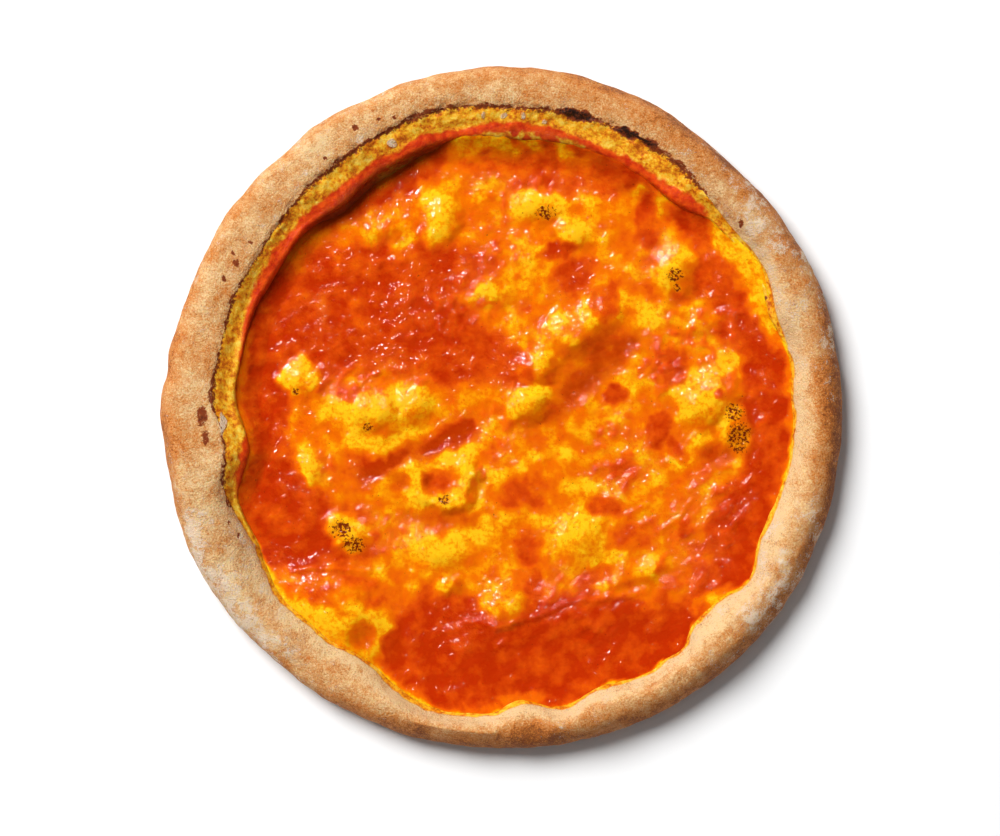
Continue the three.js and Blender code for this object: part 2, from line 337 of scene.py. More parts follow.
crust_angle = spoke_angle[spoke]
crust_place = place_of_ring[ring]
crust_radius = ring_radius[ring, spoke]
crust_points = np.column_stack((
    crust_radius * np.cos(np.radians(crust_angle)),
    crust_radius * np.sin(np.radians(crust_angle)),
    ring_height[ring, spoke],
))
put(crust_mesh, crust_points)
open_edges = [edge for edge in crust_mesh.edges if edge.is_boundary]
bmesh.ops.holes_fill(crust_mesh, edges=open_edges, sides=0)
bmesh.ops.recalc_face_normals(crust_mesh, faces=crust_mesh.faces[:])
crust_mesh.normal_update()
outward = np.array([v.normal[:] for v in crust_mesh.verts])
print("crust closed:", all(edge.is_manifold for edge in crust_mesh.edges))

# %% [markdown]
# Baked dough is lumpy at several scales at once: slow swellings, knuckles of about a centimetre, and a
# fine grit where flour and bran stick out. Each is pushed along the skin's own outward direction. The
# torn lip is rougher, and the wall under it is stringy along the ring, because the dough there was pulled
# apart.

# %% Roughen the crust
CRUST_LUMPS = [(26, 0.6), (11, 0.4), (5, 0.2)]  # how wide and how high, in mm
GRIT_SIZE, GRIT_HEIGHT = 2.2, 0.12
GRITTY_SIDES = [(215, 50), (20, 60)]  # an angle, and half the width of the side
SMOOTH_LIP_STRETCHES = [(138, 208, 12, 1)]  # where the lip is torn more cleanly
LEDGE_STRETCHES = [(96, 152, 14, 1)]  # where the red ledge stands out
torn_share = stretches(crust_angle, TORN_STRETCHES)
shows = smooth(crust_place, 0.6, 2) * (1 - smooth(crust_place, 11.6, 12))
on_wall = between(crust_place, 7.6, 12, 0.6) * smooth(torn_share, 0.2, 0.8)
gritty = sum(bell(turn_between(crust_angle, at), half) for at, half in GRITTY_SIDES)
grit_share = 0.5 + 0.5 * np.clip(gritty, 0, 1)
# Noise read at these points is drawn out along the ring
round_ring = np.column_stack((
    np.radians(crust_angle) * LIP_RADIUS / 4, crust_points[:, 2] * 1.3, crust_radius * 0.9,
))

push = sum(high * lumps(crust_points, wide, seed) for seed, (wide, high) in enumerate(CRUST_LUMPS, 1))
push = shows * (push + GRIT_HEIGHT * grit_share * lumps(crust_points, GRIT_SIZE, 4))
rough_wall = on_wall * (1 - 0.8 * smooth(crust_place, 9, 9.6))
push += rough_wall * (0.5 * lumps(round_ring, 5, 5) + 0.3 * lumps(crust_points, 2.6, 6))
lip_line = bell(crust_place - LIP_POINT, 1) * smooth(torn_share, 0.3, 0.9)
lip_line *= 1 - 0.7 * stretches(crust_angle, SMOOTH_LIP_STRETCHES)
push += lip_line * (0.9 * lumps(crust_points, 4.5, 7) + 0.6 * lumps(crust_points, 2, 8))
shelf = stretches(crust_angle, LEDGE_STRETCHES) * (0.75 + 0.4 * lumps(round_ring, 9, 9))
push += shelf * (0.8 * bell(crust_place - 9.5, 1.1) + 0.8 * bell(crust_place - 9.9, 0.45))
crust_points = crust_points + outward * push[:, None]
crust_points[:, 2] = np.maximum(crust_points[:, 2], 0)
put(crust_mesh, crust_points)
print("crust roughened by up to", round(float(np.abs(push).max()), 2), "mm")

# %% [markdown]
# What colours the crust is kept as six numbers at each point, from 0 to 1: flour dusted on, toast from
# the oven's heat, with some painted shade at the lower right, char on the torn lip and in spots, oil
# soaked into the torn wall, the red stain of the sauce that once stood at the ledge, and painted shade
# under that ledge. They could be painted by hand, but worked out from the angle and the place along the
# cut they stay right when the shape changes. The material reads them later, and breaks their edges up
# finely. Char comes first: a ragged line along the lip, a brown fringe inside it, and spots where thin
# blisters caught the heat.

# %% Char on the lip and in spots
# A spot is x, y, half its length and half its width
CHAR_SPOTS = [
    (-131, -5, 3.2, 5.5), (-129, -14, 2.6, 4), (-63, 122, 2.2, 1.8), (-53, 126, 1.5, 1.3),
    (-46, 127, 1.3, 1.1), (-116, 63, 2.2, 2.4), (-117, 67, 1, 1), (-110, 72, 1.2, 1.4),
    (-121, 56, 1.2, 1.6), (-119, -51, 0.9, 1.5), (-115, -57, 0.8, 1.2), (88, -96, 1, 0.8),
    (68, -132, 1.8, 1.2), (65, -134, 2, 1), (106, 79, 1.8, 1.8), (117, 47, 1.8, 1.4),
    (-77, 109, 1.6, 1.1), (-82, 58, 1, 1),
]
CHAR_STRETCHES = [
    (42, 207, 8, 0.9), (44, 84, 10, 1.3), (84, 118, 8, 1), (118, 134, 6, 1.1), (71, 79, 3, 1.3),
    (57, 69, 4, 1.3), (153, 166, 5, 1.2), (169, 181, 4, 1.4),
]
BLACK_STRETCHES = [(56, 70, 5, 1), (70, 80, 3, 1), (106, 124, 8, 0.4)]
NARROW_FRINGE_STRETCHES = [(126, 212, 16, 1)]
CLEAN_WALL_STRETCHES = [(8, 50, 10, 1)]
BROWN_CHAR, SPOT_CHAR, FRINGE_CHAR = 0.56, 0.68, 0.36  # black is 1
FRINGE_WIDTH, NARROW_FRINGE_WIDTH = 4.2, 1.6
CLEAN_WALL_FRINGE = 0.4  # the share of the fringe that is left there


def spot(points, x, y, long, wide):
    return 1 - smooth(np.hypot((points[:, 0] - x) / long, (points[:, 1] - y) / wide), 0.5, 1.15)


def char_on_crust(points, angle, place, inside_lip, lip_share, noise):
    """How charred each point is. noise is three arrays, from slow to fine."""
    slow, quick, fine = noise
    band = stretches(angle, CHAR_STRETCHES) * (1 + 0.9 * lumps(points, 9, 23) + 0.5 * quick).clip(0.3, 2)
    char = bell(inside_lip + 0.9 * quick + 0.8 * fine, band + 0.01) * lip_share * smooth(place, 6, 7)
    char = np.clip(1.4 * char, 0, 1) * (1 - smooth(place, 9, 9.5))
    char = char * mix(BROWN_CHAR, 1, stretches(angle, BLACK_STRETCHES).clip(0, 1))
    fringe_width = mix(FRINGE_WIDTH, NARROW_FRINGE_WIDTH, stretches(angle, NARROW_FRINGE_STRETCHES))
    fringe = smooth(inside_lip, -0.3, 0.2) * (1 - smooth(inside_lip, 0.6, fringe_width)) * lip_share
    fringe = fringe * mix(1, CLEAN_WALL_FRINGE, stretches(angle, CLEAN_WALL_STRETCHES))
    char = np.maximum(char, (FRINGE_CHAR + 0.12 * slow) * fringe)
    for x, y, long, wide in CHAR_SPOTS:
        at_spot = spot(points + np.column_stack((quick, fine, 0 * fine)), x, y, long, wide)
        char = np.maximum(char, SPOT_CHAR * at_spot * smooth(place, 4, 5))
    return char


# %% [markdown]
# The torn wall has soaked up oil from the sauce and turned yellow. Lower down it is stained red, up to a
# line that rises and falls round the ring, and the dough below the ledge that juts out there is darkened
# with painted shade. Two short lists of angles and radii, joined by straight lines, say where those two
# lines run. On the rolled part of the rim there is no torn wall, and only a thin yellow line where the
# sauce has wetted the dough.

# %% Oil, stain and shade on the wall
WET_LINE = [
    (30, 120), (38, 121), (43, 126), (48, 124.5), (55, 122.5), (68, 122.5), (75, 124), (95, 125.5),
    (102, 123.5), (108, 123.5), (116, 121.5), (124, 120.5), (136, 121), (153, 121), (165, 118),
    (175, 115), (184, 113.5), (190, 116), (199, 124), (214, 126),
]
LEDGE_LINE = [
    (40, 112), (60, 114), (68, 119), (74, 122), (92, 122), (100, 119.5), (116, 118.5), (130, 116),
    (150, 114),
]
POCKET_STRETCHES = [(66, 106, 8, 0.95), (100, 124, 8, 0.6)]  # where pale dough shows under the ledge
# Where painted shade darkens the wall under the ledge and the sauce beside it
DARK_STRETCHES = [(60, 142, 10, 0.6), (96, 140, 12, 0.4)]  # where the ledge keeps the light off
SHARP_LIP_BLUR, SOFT_LIP_BLUR = 0.35, 0.9
WET_LINE_BLUR = 2.2
WETTED_RISE = 0.6  # how high above the sauce the rolled part is wetted
WETTED_AT, WETTED_HALF, WETTED_MORE = 240, 36, 1.4  # where it is wetted higher


def wall_on_crust(points, angle, place, torn, inside_lip, lip_share, noise):
    """Oil, stain and shade at each point."""
    slow, quick, fine = noise
    ragged = 0.35 * slow + 0.25 * quick
    lip_blur = mix(SHARP_LIP_BLUR, SOFT_LIP_BLUR, stretches(angle, SMOOTH_LIP_STRETCHES))
    oil = smooth(inside_lip + 0.8 * ragged, -lip_blur, lip_blur)
    oil = oil * smooth(place, 7, 7.5) * smooth(torn, 0.05, 0.3)
    soaked = WETTED_MORE * bell(turn_between(angle, WETTED_AT), WETTED_HALF) + WETTED_RISE
    above = points[:, 2] + 1.2 * slow + 0.9 * quick - soaked
    wetted = 1 - smooth(above, SAUCE_LEVEL + 0.2, SAUCE_LEVEL + 2.6)
    oil = np.maximum(oil, wetted * smooth(place, 7, 8) * (1 - lip_share))
    from_middle = np.hypot(points[:, 0], points[:, 1]) + 1.6 * slow + 0.8 * quick + 0.3 * fine
    wet_line = np.interp(angle, *zip(*WET_LINE))
    ledge_line = np.interp(angle, *zip(*LEDGE_LINE))
    pockets = 1 - smooth(from_middle, ledge_line - 1.5, ledge_line + 1.2)
    pockets = pockets * smooth(slow + quick, -0.5, 0.4) * stretches(angle, POCKET_STRETCHES)
    stain = 1 - smooth(from_middle, wet_line - WET_LINE_BLUR, wet_line + WET_LINE_BLUR)
    stain = stain * (1 - pockets) * smooth(torn, 0.5, 0.9)
    # Painted shade under the ledge
    shade = 1 - smooth(from_middle, ledge_line - 1.5, ledge_line + 2)
    return oil, stain, shade * stretches(angle, DARK_STRETCHES)


# %% [markdown]
# The oven browns the outer side and leaves the crest paler. Towards the lower right, away from the lamp,
# the outer side is toasted more, partly browning and partly painted shade. Flour from the bench stays on
# in patches, most at the right and the lower left. A few pale bits of dry flour stick to the torn wall.

# %% Flour and toast
BROWNED = [(276, 9, 0.3), (0, 26, 0.25), (262, 30, 0.1), (60, 40, 0.2), (186, 9, 0.25), (128, 44, -0.14)]
DUSTED = [(28, 40, 0.55), (326, 30, 0.5), (214, 30, 0.5), (285, 12, 0.25), (135, 50, 0.3)]
FLOURY_SIDE, BROWNED_AND_SHADED_SIDE = (214, 40), (330, 130)  # an angle, and half the width of the side
LEAST_TOAST, OUTER_TOAST, BROWNED_AND_SHADED_TOAST, INNER_PALENESS = 0.4, 0.32, 0.5, 0.42
LEAST_FLOUR, FLOUR_CLOUDS = 0.1, 0.4
# A pale spot is x, y, half its length, half its width and its strength
PALE_SPOTS = [
    (-47, 116, 3.2, 2.2, 1), (-122, -7, 1.7, 6, 1), (-7, 128, 1.5, 2.4, 0.6), (2, 128, 2, 1.6, 0.7),
    (10.5, 127.5, 1.7, 2.2, 0.7), (20, 125, 1.6, 1.6, 0.6),
]


def bake_on_crust(points, angle, place, lip_share, slow):
    """Flour and toast at each point."""
    flour = LEAST_FLOUR + FLOUR_CLOUDS * lumps(points, 9, 25)
    for at, half, amount in DUSTED:
        flour = flour + amount * bell(turn_between(angle, at), half)
    flour = np.clip(flour, 0, 1) * smooth(place, 1.2, 2.6) * (1 - smooth(place, 7.6, 8.2) * lip_share)
    floury_side = bell(turn_between(angle, FLOURY_SIDE[0]), FLOURY_SIDE[1])
    browned_and_shaded_side = bell(turn_between(angle, BROWNED_AND_SHADED_SIDE[0]), BROWNED_AND_SHADED_SIDE[1])
    flour = flour + 0.5 * floury_side * bell(place - 4.6, 2.4)
    outer_side = 1 - smooth(place, 5.5, 7)
    # More toast towards the lower right, away from the lamp: partly browning, partly painted shade
    toast = mix(OUTER_TOAST, BROWNED_AND_SHADED_TOAST, browned_and_shaded_side) * (1 - smooth(place, 3.4, 6.2))
    toast = toast + LEAST_TOAST + 0.18 * slow - 0.2 * floury_side * outer_side
    for at, half, amount in BROWNED:
        toast = toast + amount * bell(turn_between(angle, at), half) * outer_side
    paleness = INNER_PALENESS * smooth(place, 6, 8) * (1 - lip_share) * (1 - 0.6 * floury_side)
    return flour, toast - paleness


# %% All six marks together
def crust_marks(points, angle, place, torn):
    """The six marks at each point of the crust."""
    noise = lumps(points, 14, 21), lumps(points, 4, 22), lumps(points, 2, 24)
    slow, quick, _ = noise
    lip_share = smooth(torn, 0.25, 0.8)
    _, _, lip, _, _ = rim_sizes(angle)
    inside_lip = lip - np.hypot(points[:, 0], points[:, 1])
    char = char_on_crust(points, angle, place, inside_lip, lip_share, noise)
    oil, stain, shade = wall_on_crust(points, angle, place, torn, inside_lip, lip_share, noise)
    flour, toast = bake_on_crust(points, angle, place, lip_share, slow)
    for x, y, long, wide, strength in PALE_SPOTS:
        pale = strength * spot(points + np.column_stack((quick, quick, 0 * quick)), x, y, long, wide)
        flour, oil, stain = mix(flour, 1.6, pale), mix(oil, 0, pale), mix(stain, 0, pale)
    return {"flour": flour, "toast": toast, "char": char, "oil": oil, "stain": stain, "shade": shade}


crust_marks_here = crust_marks(crust_points, crust_angle, crust_place, torn_share)
print("crust marks:", {name: round(float(value.max()), 2) for name, value in crust_marks_here.items()})

# %% [markdown]
# A worked mesh becomes an object only when it is finished. Its points are turned from millimetres into
# metres in the mesh itself, so that the object sits at the origin unscaled, and the marks go along as
# attributes, which a material can read at each point.

# %% Turn a worked mesh into a piece
def make_piece(name, mesh, marks):
    """A smooth object in metres at the origin, with its marks as attributes."""
    bmesh.ops.scale(mesh, vec=(MM, MM, MM), verts=mesh.verts[:])
    data = bpy.data.meshes.new(name)
    mesh.to_mesh(data)
    mesh.free()
    data.shade_smooth()
    for mark, values in marks.items():
        data.attributes.new(mark, "FLOAT", "POINT").data.foreach_set("value", np.clip(values, 0, 1))
    piece = bpy.data.objects.new(name, data)
    bpy.context.scene.collection.objects.link(piece)
    triangles = sum(len(face.vertices) - 2 for face in data.polygons)
    print(name, "has", triangles, "triangles")
    return piece


crust = make_piece("baked_crust", crust_mesh, crust_marks_here)

# %% [markdown]
# The sauce is a wet skin over the dough's floor. Where the floor has blistered, the sauce has run off and
# the dough shows yellow through it. Where it has pooled it is deep red. So each blister is a low
# egg-shaped dome in the sauce's surface, and the colour is painted in about a hundred soft strokes, each
# a place, a size, a turn and how bare the dough is there.

# %% Blisters of the floor
BLISTER_FLANK = (0.2, 1.3)  # where a blister's side starts and ends, as shares of its size
# A blister is x, y, half its length, half its width, its turn in degrees and its height
BLISTERS = [
    (-89, 12, 10, 9, 0, 1.6), (-58, -1, 15, 12, -25, 3), (-40, 1, 11, 10, 0, 2.6),
    (-84, -26, 9, 5, 90, 1.1), (-68, -56, 11, 8, -40, 2.2), (-27, -63, 15, 7, -15, 1.3),
    (-22, -78, 6, 4, 0, 1.5), (2, -86, 10, 9, 90, 1.8), (12, 1, 11, 9, 40, 3.3), (17, 18, 11, 8, 30, 2.8),
    (35, 34, 19, 11, 28, 3.8), (16, 88, 12, 7, -8, 2), (31, 77, 9, 6, -20, 1.5),
    (77, 61, 11, 10, 90, 2.6), (-27, 83, 13, 8, 84, 2.2), (-52, 79, 10, 5, 5, 1.2),
    (-6, 51, 12, 6, 0, 1.3), (92, 3, 15, 12, 30, 3.2), (103, -9, 10, 7, 80, 2.6),
    (88, 36, 10, 6, 10, 1.3), (35, -57, 13, 10, 70, 1.7), (60, -73, 16, 6, 10, 1.6),
    (-71, -91, 28, 17, -38, 4.6),
]
HORSESHOE_MIDDLE, HORSESHOE_RADIUS, HORSESHOE_HALF, HORSESHOE_RISE = (-25, -31), 12, 4.6, 2.1
HORSESHOE_FROM, HORSESHOE_TO = 175, 385
CRATER = (-61, -101, 7, 2.4)  # x, y, radius and depth
# A crease or a ridge is x and y of its two ends, half its width, and its depth or height
CREASES = [
    (58, 28, 44, 18, 9, 1.1), (44, 18, 30, 6, 11, 1.2), (29, 4, 22, -6, 8, 1),
    (-60, -30, -42, -22, 8, 0.7), (-42, -22, -18, -10, 8, 0.7), (-52, -26, -46, -33, 7, 0.7),
    (-40, -48, -12, -51, 6, 0.7), (86, 50, 76, 47, 6, 0.7), (108, -20, 92, -22, 7, 0.8),
]
RIDGES = [
    (64, -81, 48, -84, 2.6, 0.9), (48, -84, 30, -87, 2.6, 1), (30, -87, 14, -93, 2.4, 0.9),
    (14, -93, -2, -97, 2.2, 0.8), (-2, -97, -15, -95, 2.2, 0.7), (-93, -72, -76, -71, 2, 0.9),
    (-76, -71, -58, -73, 2, 0.9), (-15, -33, -9, -27, 1.8, 0.8), (-64, 81, -58, 72, 1.8, 0.8),
    (5, 10, 3, 3, 1.6, 0.6), (3, 3, 4, -5, 1.6, 0.6), (-64, 9, -58, 14, 1.6, 0.6),
    (-42, 80, -38, 77, 1.6, 0.7), (-58, 14, -54, 15, 1.6, 0.6), (70, 20, 62, 12, 1.6, 0.6),
    (84, -42, 70, -56, 2, 0.6),
]
print("blisters:", len(BLISTERS), "creases:", len(CREASES), "ridges:", len(RIDGES))


def egg_distance(x, y, row):
    """0 in the middle of an egg-shaped patch, 1 on its edge."""
    at_x, at_y, long, wide, turn = row[:5]
    turn_cos, turn_sin = math.cos(math.radians(turn)), math.sin(math.radians(turn))
    off_x, off_y = x - at_x, y - at_y
    along, across = off_x * turn_cos + off_y * turn_sin, off_y * turn_cos - off_x * turn_sin
    return np.hypot(along / long, across / wide)


def line_distance(x, y, x1, y1, x2, y2):
    span = (x2 - x1) ** 2 + (y2 - y1) ** 2
    share = np.clip(((x - x1) * (x2 - x1) + (y - y1) * (y2 - y1)) / span, 0, 1)
    return np.hypot(x - x1 - share * (x2 - x1), y - y1 - share * (y2 - y1))


def dough_rise(x, y):
    """How far the blistered dough lifts the sauce's skin at each place."""
    rise = np.zeros_like(x)
    for row in BLISTERS:
        across = egg_distance(x, y, row)
        rise = np.maximum(rise, row[5] * (1 - smooth(across, *BLISTER_FLANK)))
    at_x, at_y = HORSESHOE_MIDDLE
    around = np.degrees(np.arctan2(y - at_y, x - at_x)) % 360
    around = np.where(around < HORSESHOE_FROM - 90, around + 360, around)
    ring_angle = np.radians(np.clip(around, HORSESHOE_FROM, HORSESHOE_TO))
    nearest_x = at_x + HORSESHOE_RADIUS * np.cos(ring_angle)
    nearest_y = at_y + HORSESHOE_RADIUS * np.sin(ring_angle)
    across = np.hypot(x - nearest_x, y - nearest_y) / HORSESHOE_HALF
    return np.maximum(rise, HORSESHOE_RISE * (1 - smooth(across, *BLISTER_FLANK)))


# %% [markdown]
# A grid gives the sauce even little faces from edge to edge, where a spun disc would crowd them in the
# middle. The square is pressed into a disc ring by ring, and the disc is stretched to the line where
# sauce meets dough, with a little tucked into the wall so that no gap shows. In some stretches the sauce
# has climbed high up the wall, and there it is tucked in further.

# %% The sauce's grid
GRID_STEPS = 306
HIGH_CLIMB_STRETCHES = [(50, 108, 12, 1), (14, 46, 8, 0.8), (158, 206, 12, 0.8)]
EDGE_ON_WALL = 0.86  # how far down the torn wall's lean the sauce ends
TUCK, HIGH_TUCK = 1.3, 1.7


def sauce_edge(angle):
    """Where the sauce meets the dough."""
    torn, _, lip, _, wall = rim_sizes(angle)
    return mix(lip, lip - EDGE_ON_WALL * wall, torn)


def tuck(angle):
    """How far the sauce goes on into the wall, so that no gap shows."""
    return TUCK + HIGH_TUCK * stretches(angle, HIGH_CLIMB_STRETCHES)


sauce_mesh = bmesh.new()
bmesh.ops.create_grid(sauce_mesh, x_segments=GRID_STEPS, y_segments=GRID_STEPS, size=1)
square = np.array([v.co[:2] for v in sauce_mesh.verts])
wide_part = np.abs(square[:, 0]) >= np.abs(square[:, 1])
far = np.where(wide_part, square[:, 0], square[:, 1])
near = np.where(wide_part, square[:, 1], square[:, 0])
swing = 45 * near / np.where(far == 0, 1, far)
sauce_angle = np.where(wide_part, swing, 90 - swing) + np.where(far < 0, 180, 0)
sauce_share = np.abs(far)
sauce_radius = sauce_share * (sauce_edge(sauce_angle) + tuck(sauce_angle))
sauce_x = sauce_radius * np.cos(np.radians(sauce_angle))
sauce_y = sauce_radius * np.sin(np.radians(sauce_angle))
print("sauce points:", len(sauce_x))

# %% [markdown]
# Strokes are painted in order, as with a brush: 0 is a deep pool of sauce and 1 is bare dough. The first
# ones lay down the wide areas, and the later ones the islands in them. Two more lists of soft egg-shaped
# patches say where the dough is scorched and where pulp lies thick. A painted picture would do it too,
# but it would blur close up, while a stroke can be moved or turned by one number.

# %% Strokes of colour
# A stroke is x, y, half its length, half its width, its turn in degrees, its bareness and its softness
STROKES = [
    (0, 0, 200, 200, 0, 0.66, 0.1),
    # Wide red areas
    (-62, 45, 60, 30, 18, 0.16, 0.35),
    (-30, 28, 34, 17, -12, 0.16, 0.4),
    (-106, 0, 13, 70, 0, 0.12, 0.5),
    (-88, -50, 32, 22, -20, 0.16, 0.4),
    (30, -108, 70, 25, 4, 0.06, 0.25),
    (-25, -106, 26, 24, -30, 0.07, 0.3),
    (117, 0, 10, 45, 0, 0.1, 0.4),
    (103, -62, 15, 34, -22, 0.1, 0.4),
    (94, 66, 9, 26, 8, 0.22, 0.5),
    (106, 38, 10, 14, 10, 0.14, 0.5),
    (100, 72.5, 17, 6, 126, 0.86, 0.35),
    (115.5, 44.5, 17, 5.5, 111, 0.88, 0.35),
    (20, 103, 46, 8, -4, 0.33, 0.5),
    (-45, 100, 30, 6, 32, 0.1, 0.5),
    (58, 104, 14, 7, -30, 0.1, 0.5),
    (85, 84, 11, 7, -30, 0.12, 0.5),
    # Orange patches inside the red
    (-68, -32, 16, 13, 0, 0.58, 0.5),
    (-88, -4, 5, 8, 0, 0.6, 0.5),
    (-46, 90, 9, 5, 25, 0.6, 0.5),
    (-8, 97, 14, 5.5, 5, 0.68, 0.5),
    (-10, 80, 10, 15, 0, 0.6, 0.6),
    (82, -48, 10, 13, 0, 0.6, 0.5),
    (-73, -82, 24, 8, 0, 0.42, 0.25),
    (-62, -97, 19, 12, -32, 0.68, 0.3),
    (-61, -101, 14, 12, 0, 0.97, 0.25),
    (93, -86, 11, 4, 35, 0.6, 0.4),
    (10, -128, 11, 3.5, 0, 0.66, 0.4),
    # Yellow where the dough comes through
    (-90, 12, 9, 9, 0, 0.97, 0.25),
    (-61, -3, 17, 12, -25, 0.98, 0.3),
    (-41, -3, 12, 13, 0, 1.0, 0.3),
    (-51, -16, 9, 5, 61, 0.85, 0.4),
    (-84, -26, 5, 8.5, 8, 0.92, 0.4),
    (-20, -21, 16, 4.5, 25, 0.82, 0.4),
    (-5, -11, 9, 8, 30, 0.7, 0.5),
    (-38, -36, 5, 8, 15, 0.92, 0.35),
    (-25, -43, 13, 5, 0, 0.97, 0.3),
    (-11, -34, 5, 9, -20, 0.92, 0.35),
    (-45, -30, 5, 5, 0, 0.8, 0.5),
    (-68, -55, 10, 7.5, -42, 0.9, 0.3),
    (-75, -77, 5, 2.5, 0, 0.7, 0.4),
    (-76, -95, 16, 3.5, -40, 0.85, 0.4),
    (-28, -62, 14, 8, -15, 0.86, 0.35),
    (-41, -67, 5.5, 5, 0, 0.86, 0.4),
    (-22, -78, 5, 4, 0, 0.86, 0.4),
    (-9, -53, 7, 5, 10, 0.85, 0.4),
    (0, -78, 13, 9, 0, 0.68, 0.5),
    (2, -86, 9.5, 8, 0, 0.84, 0.4),
    (12, 2, 10, 9, 40, 0.95, 0.25),
    (16, 17, 7, 5.5, 30, 0.88, 0.35),
    (35, 36, 18, 10, 28, 0.78, 0.4),
    (17, 88, 11, 7, -8, 0.95, 0.3),
    (32, 78, 8, 6, -25, 0.9, 0.35),
    (77, 60, 9.5, 9, 90, 0.93, 0.3),
    (-27, 84, 7, 14, 0, 0.94, 0.35),
    (-56, 78, 7, 6, 0, 0.78, 0.4),
    (-44, 77, 7, 5.5, 0, 0.85, 0.4),
    (-5, 51, 12, 6, 0, 0.85, 0.4),
    (12, 58, 10, 6, 20, 0.75, 0.5),
    (60, 60, 9, 9, 0, 0.55, 0.5),
    (46, 67, 7, 5, 0, 0.72, 0.4),
    (55, 43, 5, 6, 0, 0.8, 0.4),
    (65, 40, 5, 6, 0, 0.85, 0.4),
    (62, 95, 5, 3, 0, 0.8, 0.4),
    (88, 35, 9, 6, 10, 0.8, 0.4),
    (101, 21, 4, 4, 0, 0.9, 0.4),
    (89, 3, 12, 13, 20, 0.93, 0.3),
    (103, -9, 6, 11, 0, 0.85, 0.35),
    (45, -7, 12, 9, 0, 0.72, 0.6),
    (20, -20, 11, 4, 5, 0.82, 0.4),
    (40, -34, 13, 4.5, 5, 0.85, 0.4),
    (36, -57, 10, 12, 0, 0.93, 0.35),
    (61, -72, 14, 8, 8, 0.8, 0.4),
    (10, -53, 14, 5, 0, 0.72, 0.5),
    # Red islands and pools
    (-68, 8, 5, 5, 0, 0.4, 0.5),
    (-55, -26, 5, 5, 0, 0.1, 0.5),
    (-45, -23, 5, 3, 25, 0.3, 0.6),
    (-23, -13, 11, 6, 25, 0.1, 0.5),
    (-27, -32, 8, 4, 0, 0.42, 0.5),
    (-88, -64, 17, 7, 0, 0.05, 0.4),
    (-44, -106, 7, 9, 20, 0.15, 0.4),
    (33, 58, 11, 9, 15, 0.25, 0.4),
    (25, 69, 8, 4, 20, 0.12, 0.4),
    (65, 83, 5.5, 12, 5, 0.2, 0.4),
    (47, 47, 6, 9, -15, 0.25, 0.4),
    (6, 18, 8, 8, 40, 0.2, 0.4),
    (50, 5, 5, 4.5, 0, 0.18, 0.4),
    (76, 17, 9, 7, 40, 0.25, 0.5),
    (69, -11, 9, 6, 60, 0.2, 0.4),
    (55, -29, 5, 7, -30, 0.3, 0.5),
    (78, -21, 4, 6, 20, 0.3, 0.5),
    (46, -45, 8, 4, -12, 0.3, 0.5),
    (57, -58, 10, 6, 15, 0.3, 0.5),
    (10, -37, 10, 8, 20, 0.35, 0.6),
    (12, -63, 6, 7, 0, 0.35, 0.6),
    (15, -78, 5, 8, 0, 0.3, 0.5),
    (42, -73, 7, 3, 10, 0.3, 0.5),
    (96, 4, 3, 2.5, 0, 0.35, 0.5),
]
# A scorch is x, y, half its length and half its width
SCORCHES = [
    (-91, 7, 2.4, 2), (-59, -9, 2.8, 2.4), (-71, -54, 6.5, 5.2), (-65, -61, 6, 5.2), (-25, -41, 3.8, 3),
    (20, 86, 5.5, 4.2), (77, 58, 4.6, 4), (78, 52, 2.6, 2.2), (103, -3, 5.6, 5), (105, -14, 6.4, 8.6),
]
# A patch is x, y, half its length, half its width, its turn, and how crowded the pulp is
PULP_PATCHES = [
    (84, 20, 25, 21, 30, 1.1), (98, 36, 14, 13, 0, 1.1), (54, -24, 16, 22, 20, 1.05),
    (86, -60, 25, 21, 60, 1.3), (100, -42, 15, 17, 0, 1.2), (108, -4, 12, 24, 0, 0.6),
    (66, -44, 13, 11, 0, 0.8), (30, -84, 24, 13, 8, 1.05), (42, -98, 15, 9, 0, 0.7),
    (-12, -100, 16, 10, 0, 0.85), (-14, -30, 10, 10, 0, 1), (0, -9, 11, 14, 0, 0.85),
    (-84, -31, 12, 10, 0, 1), (-66, 9, 22, 11, -10, 0.95), (-42, 11, 13, 11, 0, 0.85),
    (-34, 42, 21, 13, 0, 0.85), (-12, 50, 13, 15, 0, 0.75), (3, 70, 14, 17, 0, 0.8),
    (8, 95, 18, 9, 0, 0.85), (-50, 72, 13, 13, 0, 0.6), (-46, -58, 19, 10, 0, 0.85),
]
THIN_PULP = 0.24  # between those patches
print("strokes:", len(STROKES), "scorches:", len(SCORCHES), "patches of pulp:", len(PULP_PATCHES))

# %% Paint the strokes
YELLOW_SOFTNESS, RED_SOFTNESS = 1.25, 0.7


def painted(x, y, ragged_x, ragged_y):
    """How bare the dough is at each place, from the strokes with ragged edges."""
    bare = np.zeros_like(x)
    for row in STROKES:
        shade = row[5]
        soft = row[6] * (YELLOW_SOFTNESS if shade > 0.6 else RED_SOFTNESS)
        across = egg_distance(x + ragged_x, y + ragged_y, row)
        bare = mix(bare, shade, 1 - smooth(across, 1 - soft, 1 + soft))
    return bare


# %% [markdown]
# A ladle leaves sauce wavy. Slow waves and finer ripples are products of sines, and one fold runs along
# the front. Creases and ridges are short lines with a smooth bell across them. Sculpting would give the
# same, but here each one can be moved by its two ends.

# %% Waves, folds and lines
WAVE_HEIGHT, RIPPLE_HEIGHT = 0.45, 0.2
FOLD_Y, FOLD_SLOPE, FOLD_HALF, FOLD_HEIGHT = -96, 0.16, 9, 1.3
FOLD_FROM, FOLD_TO, FOLD_SOFT = -24, 84, 20


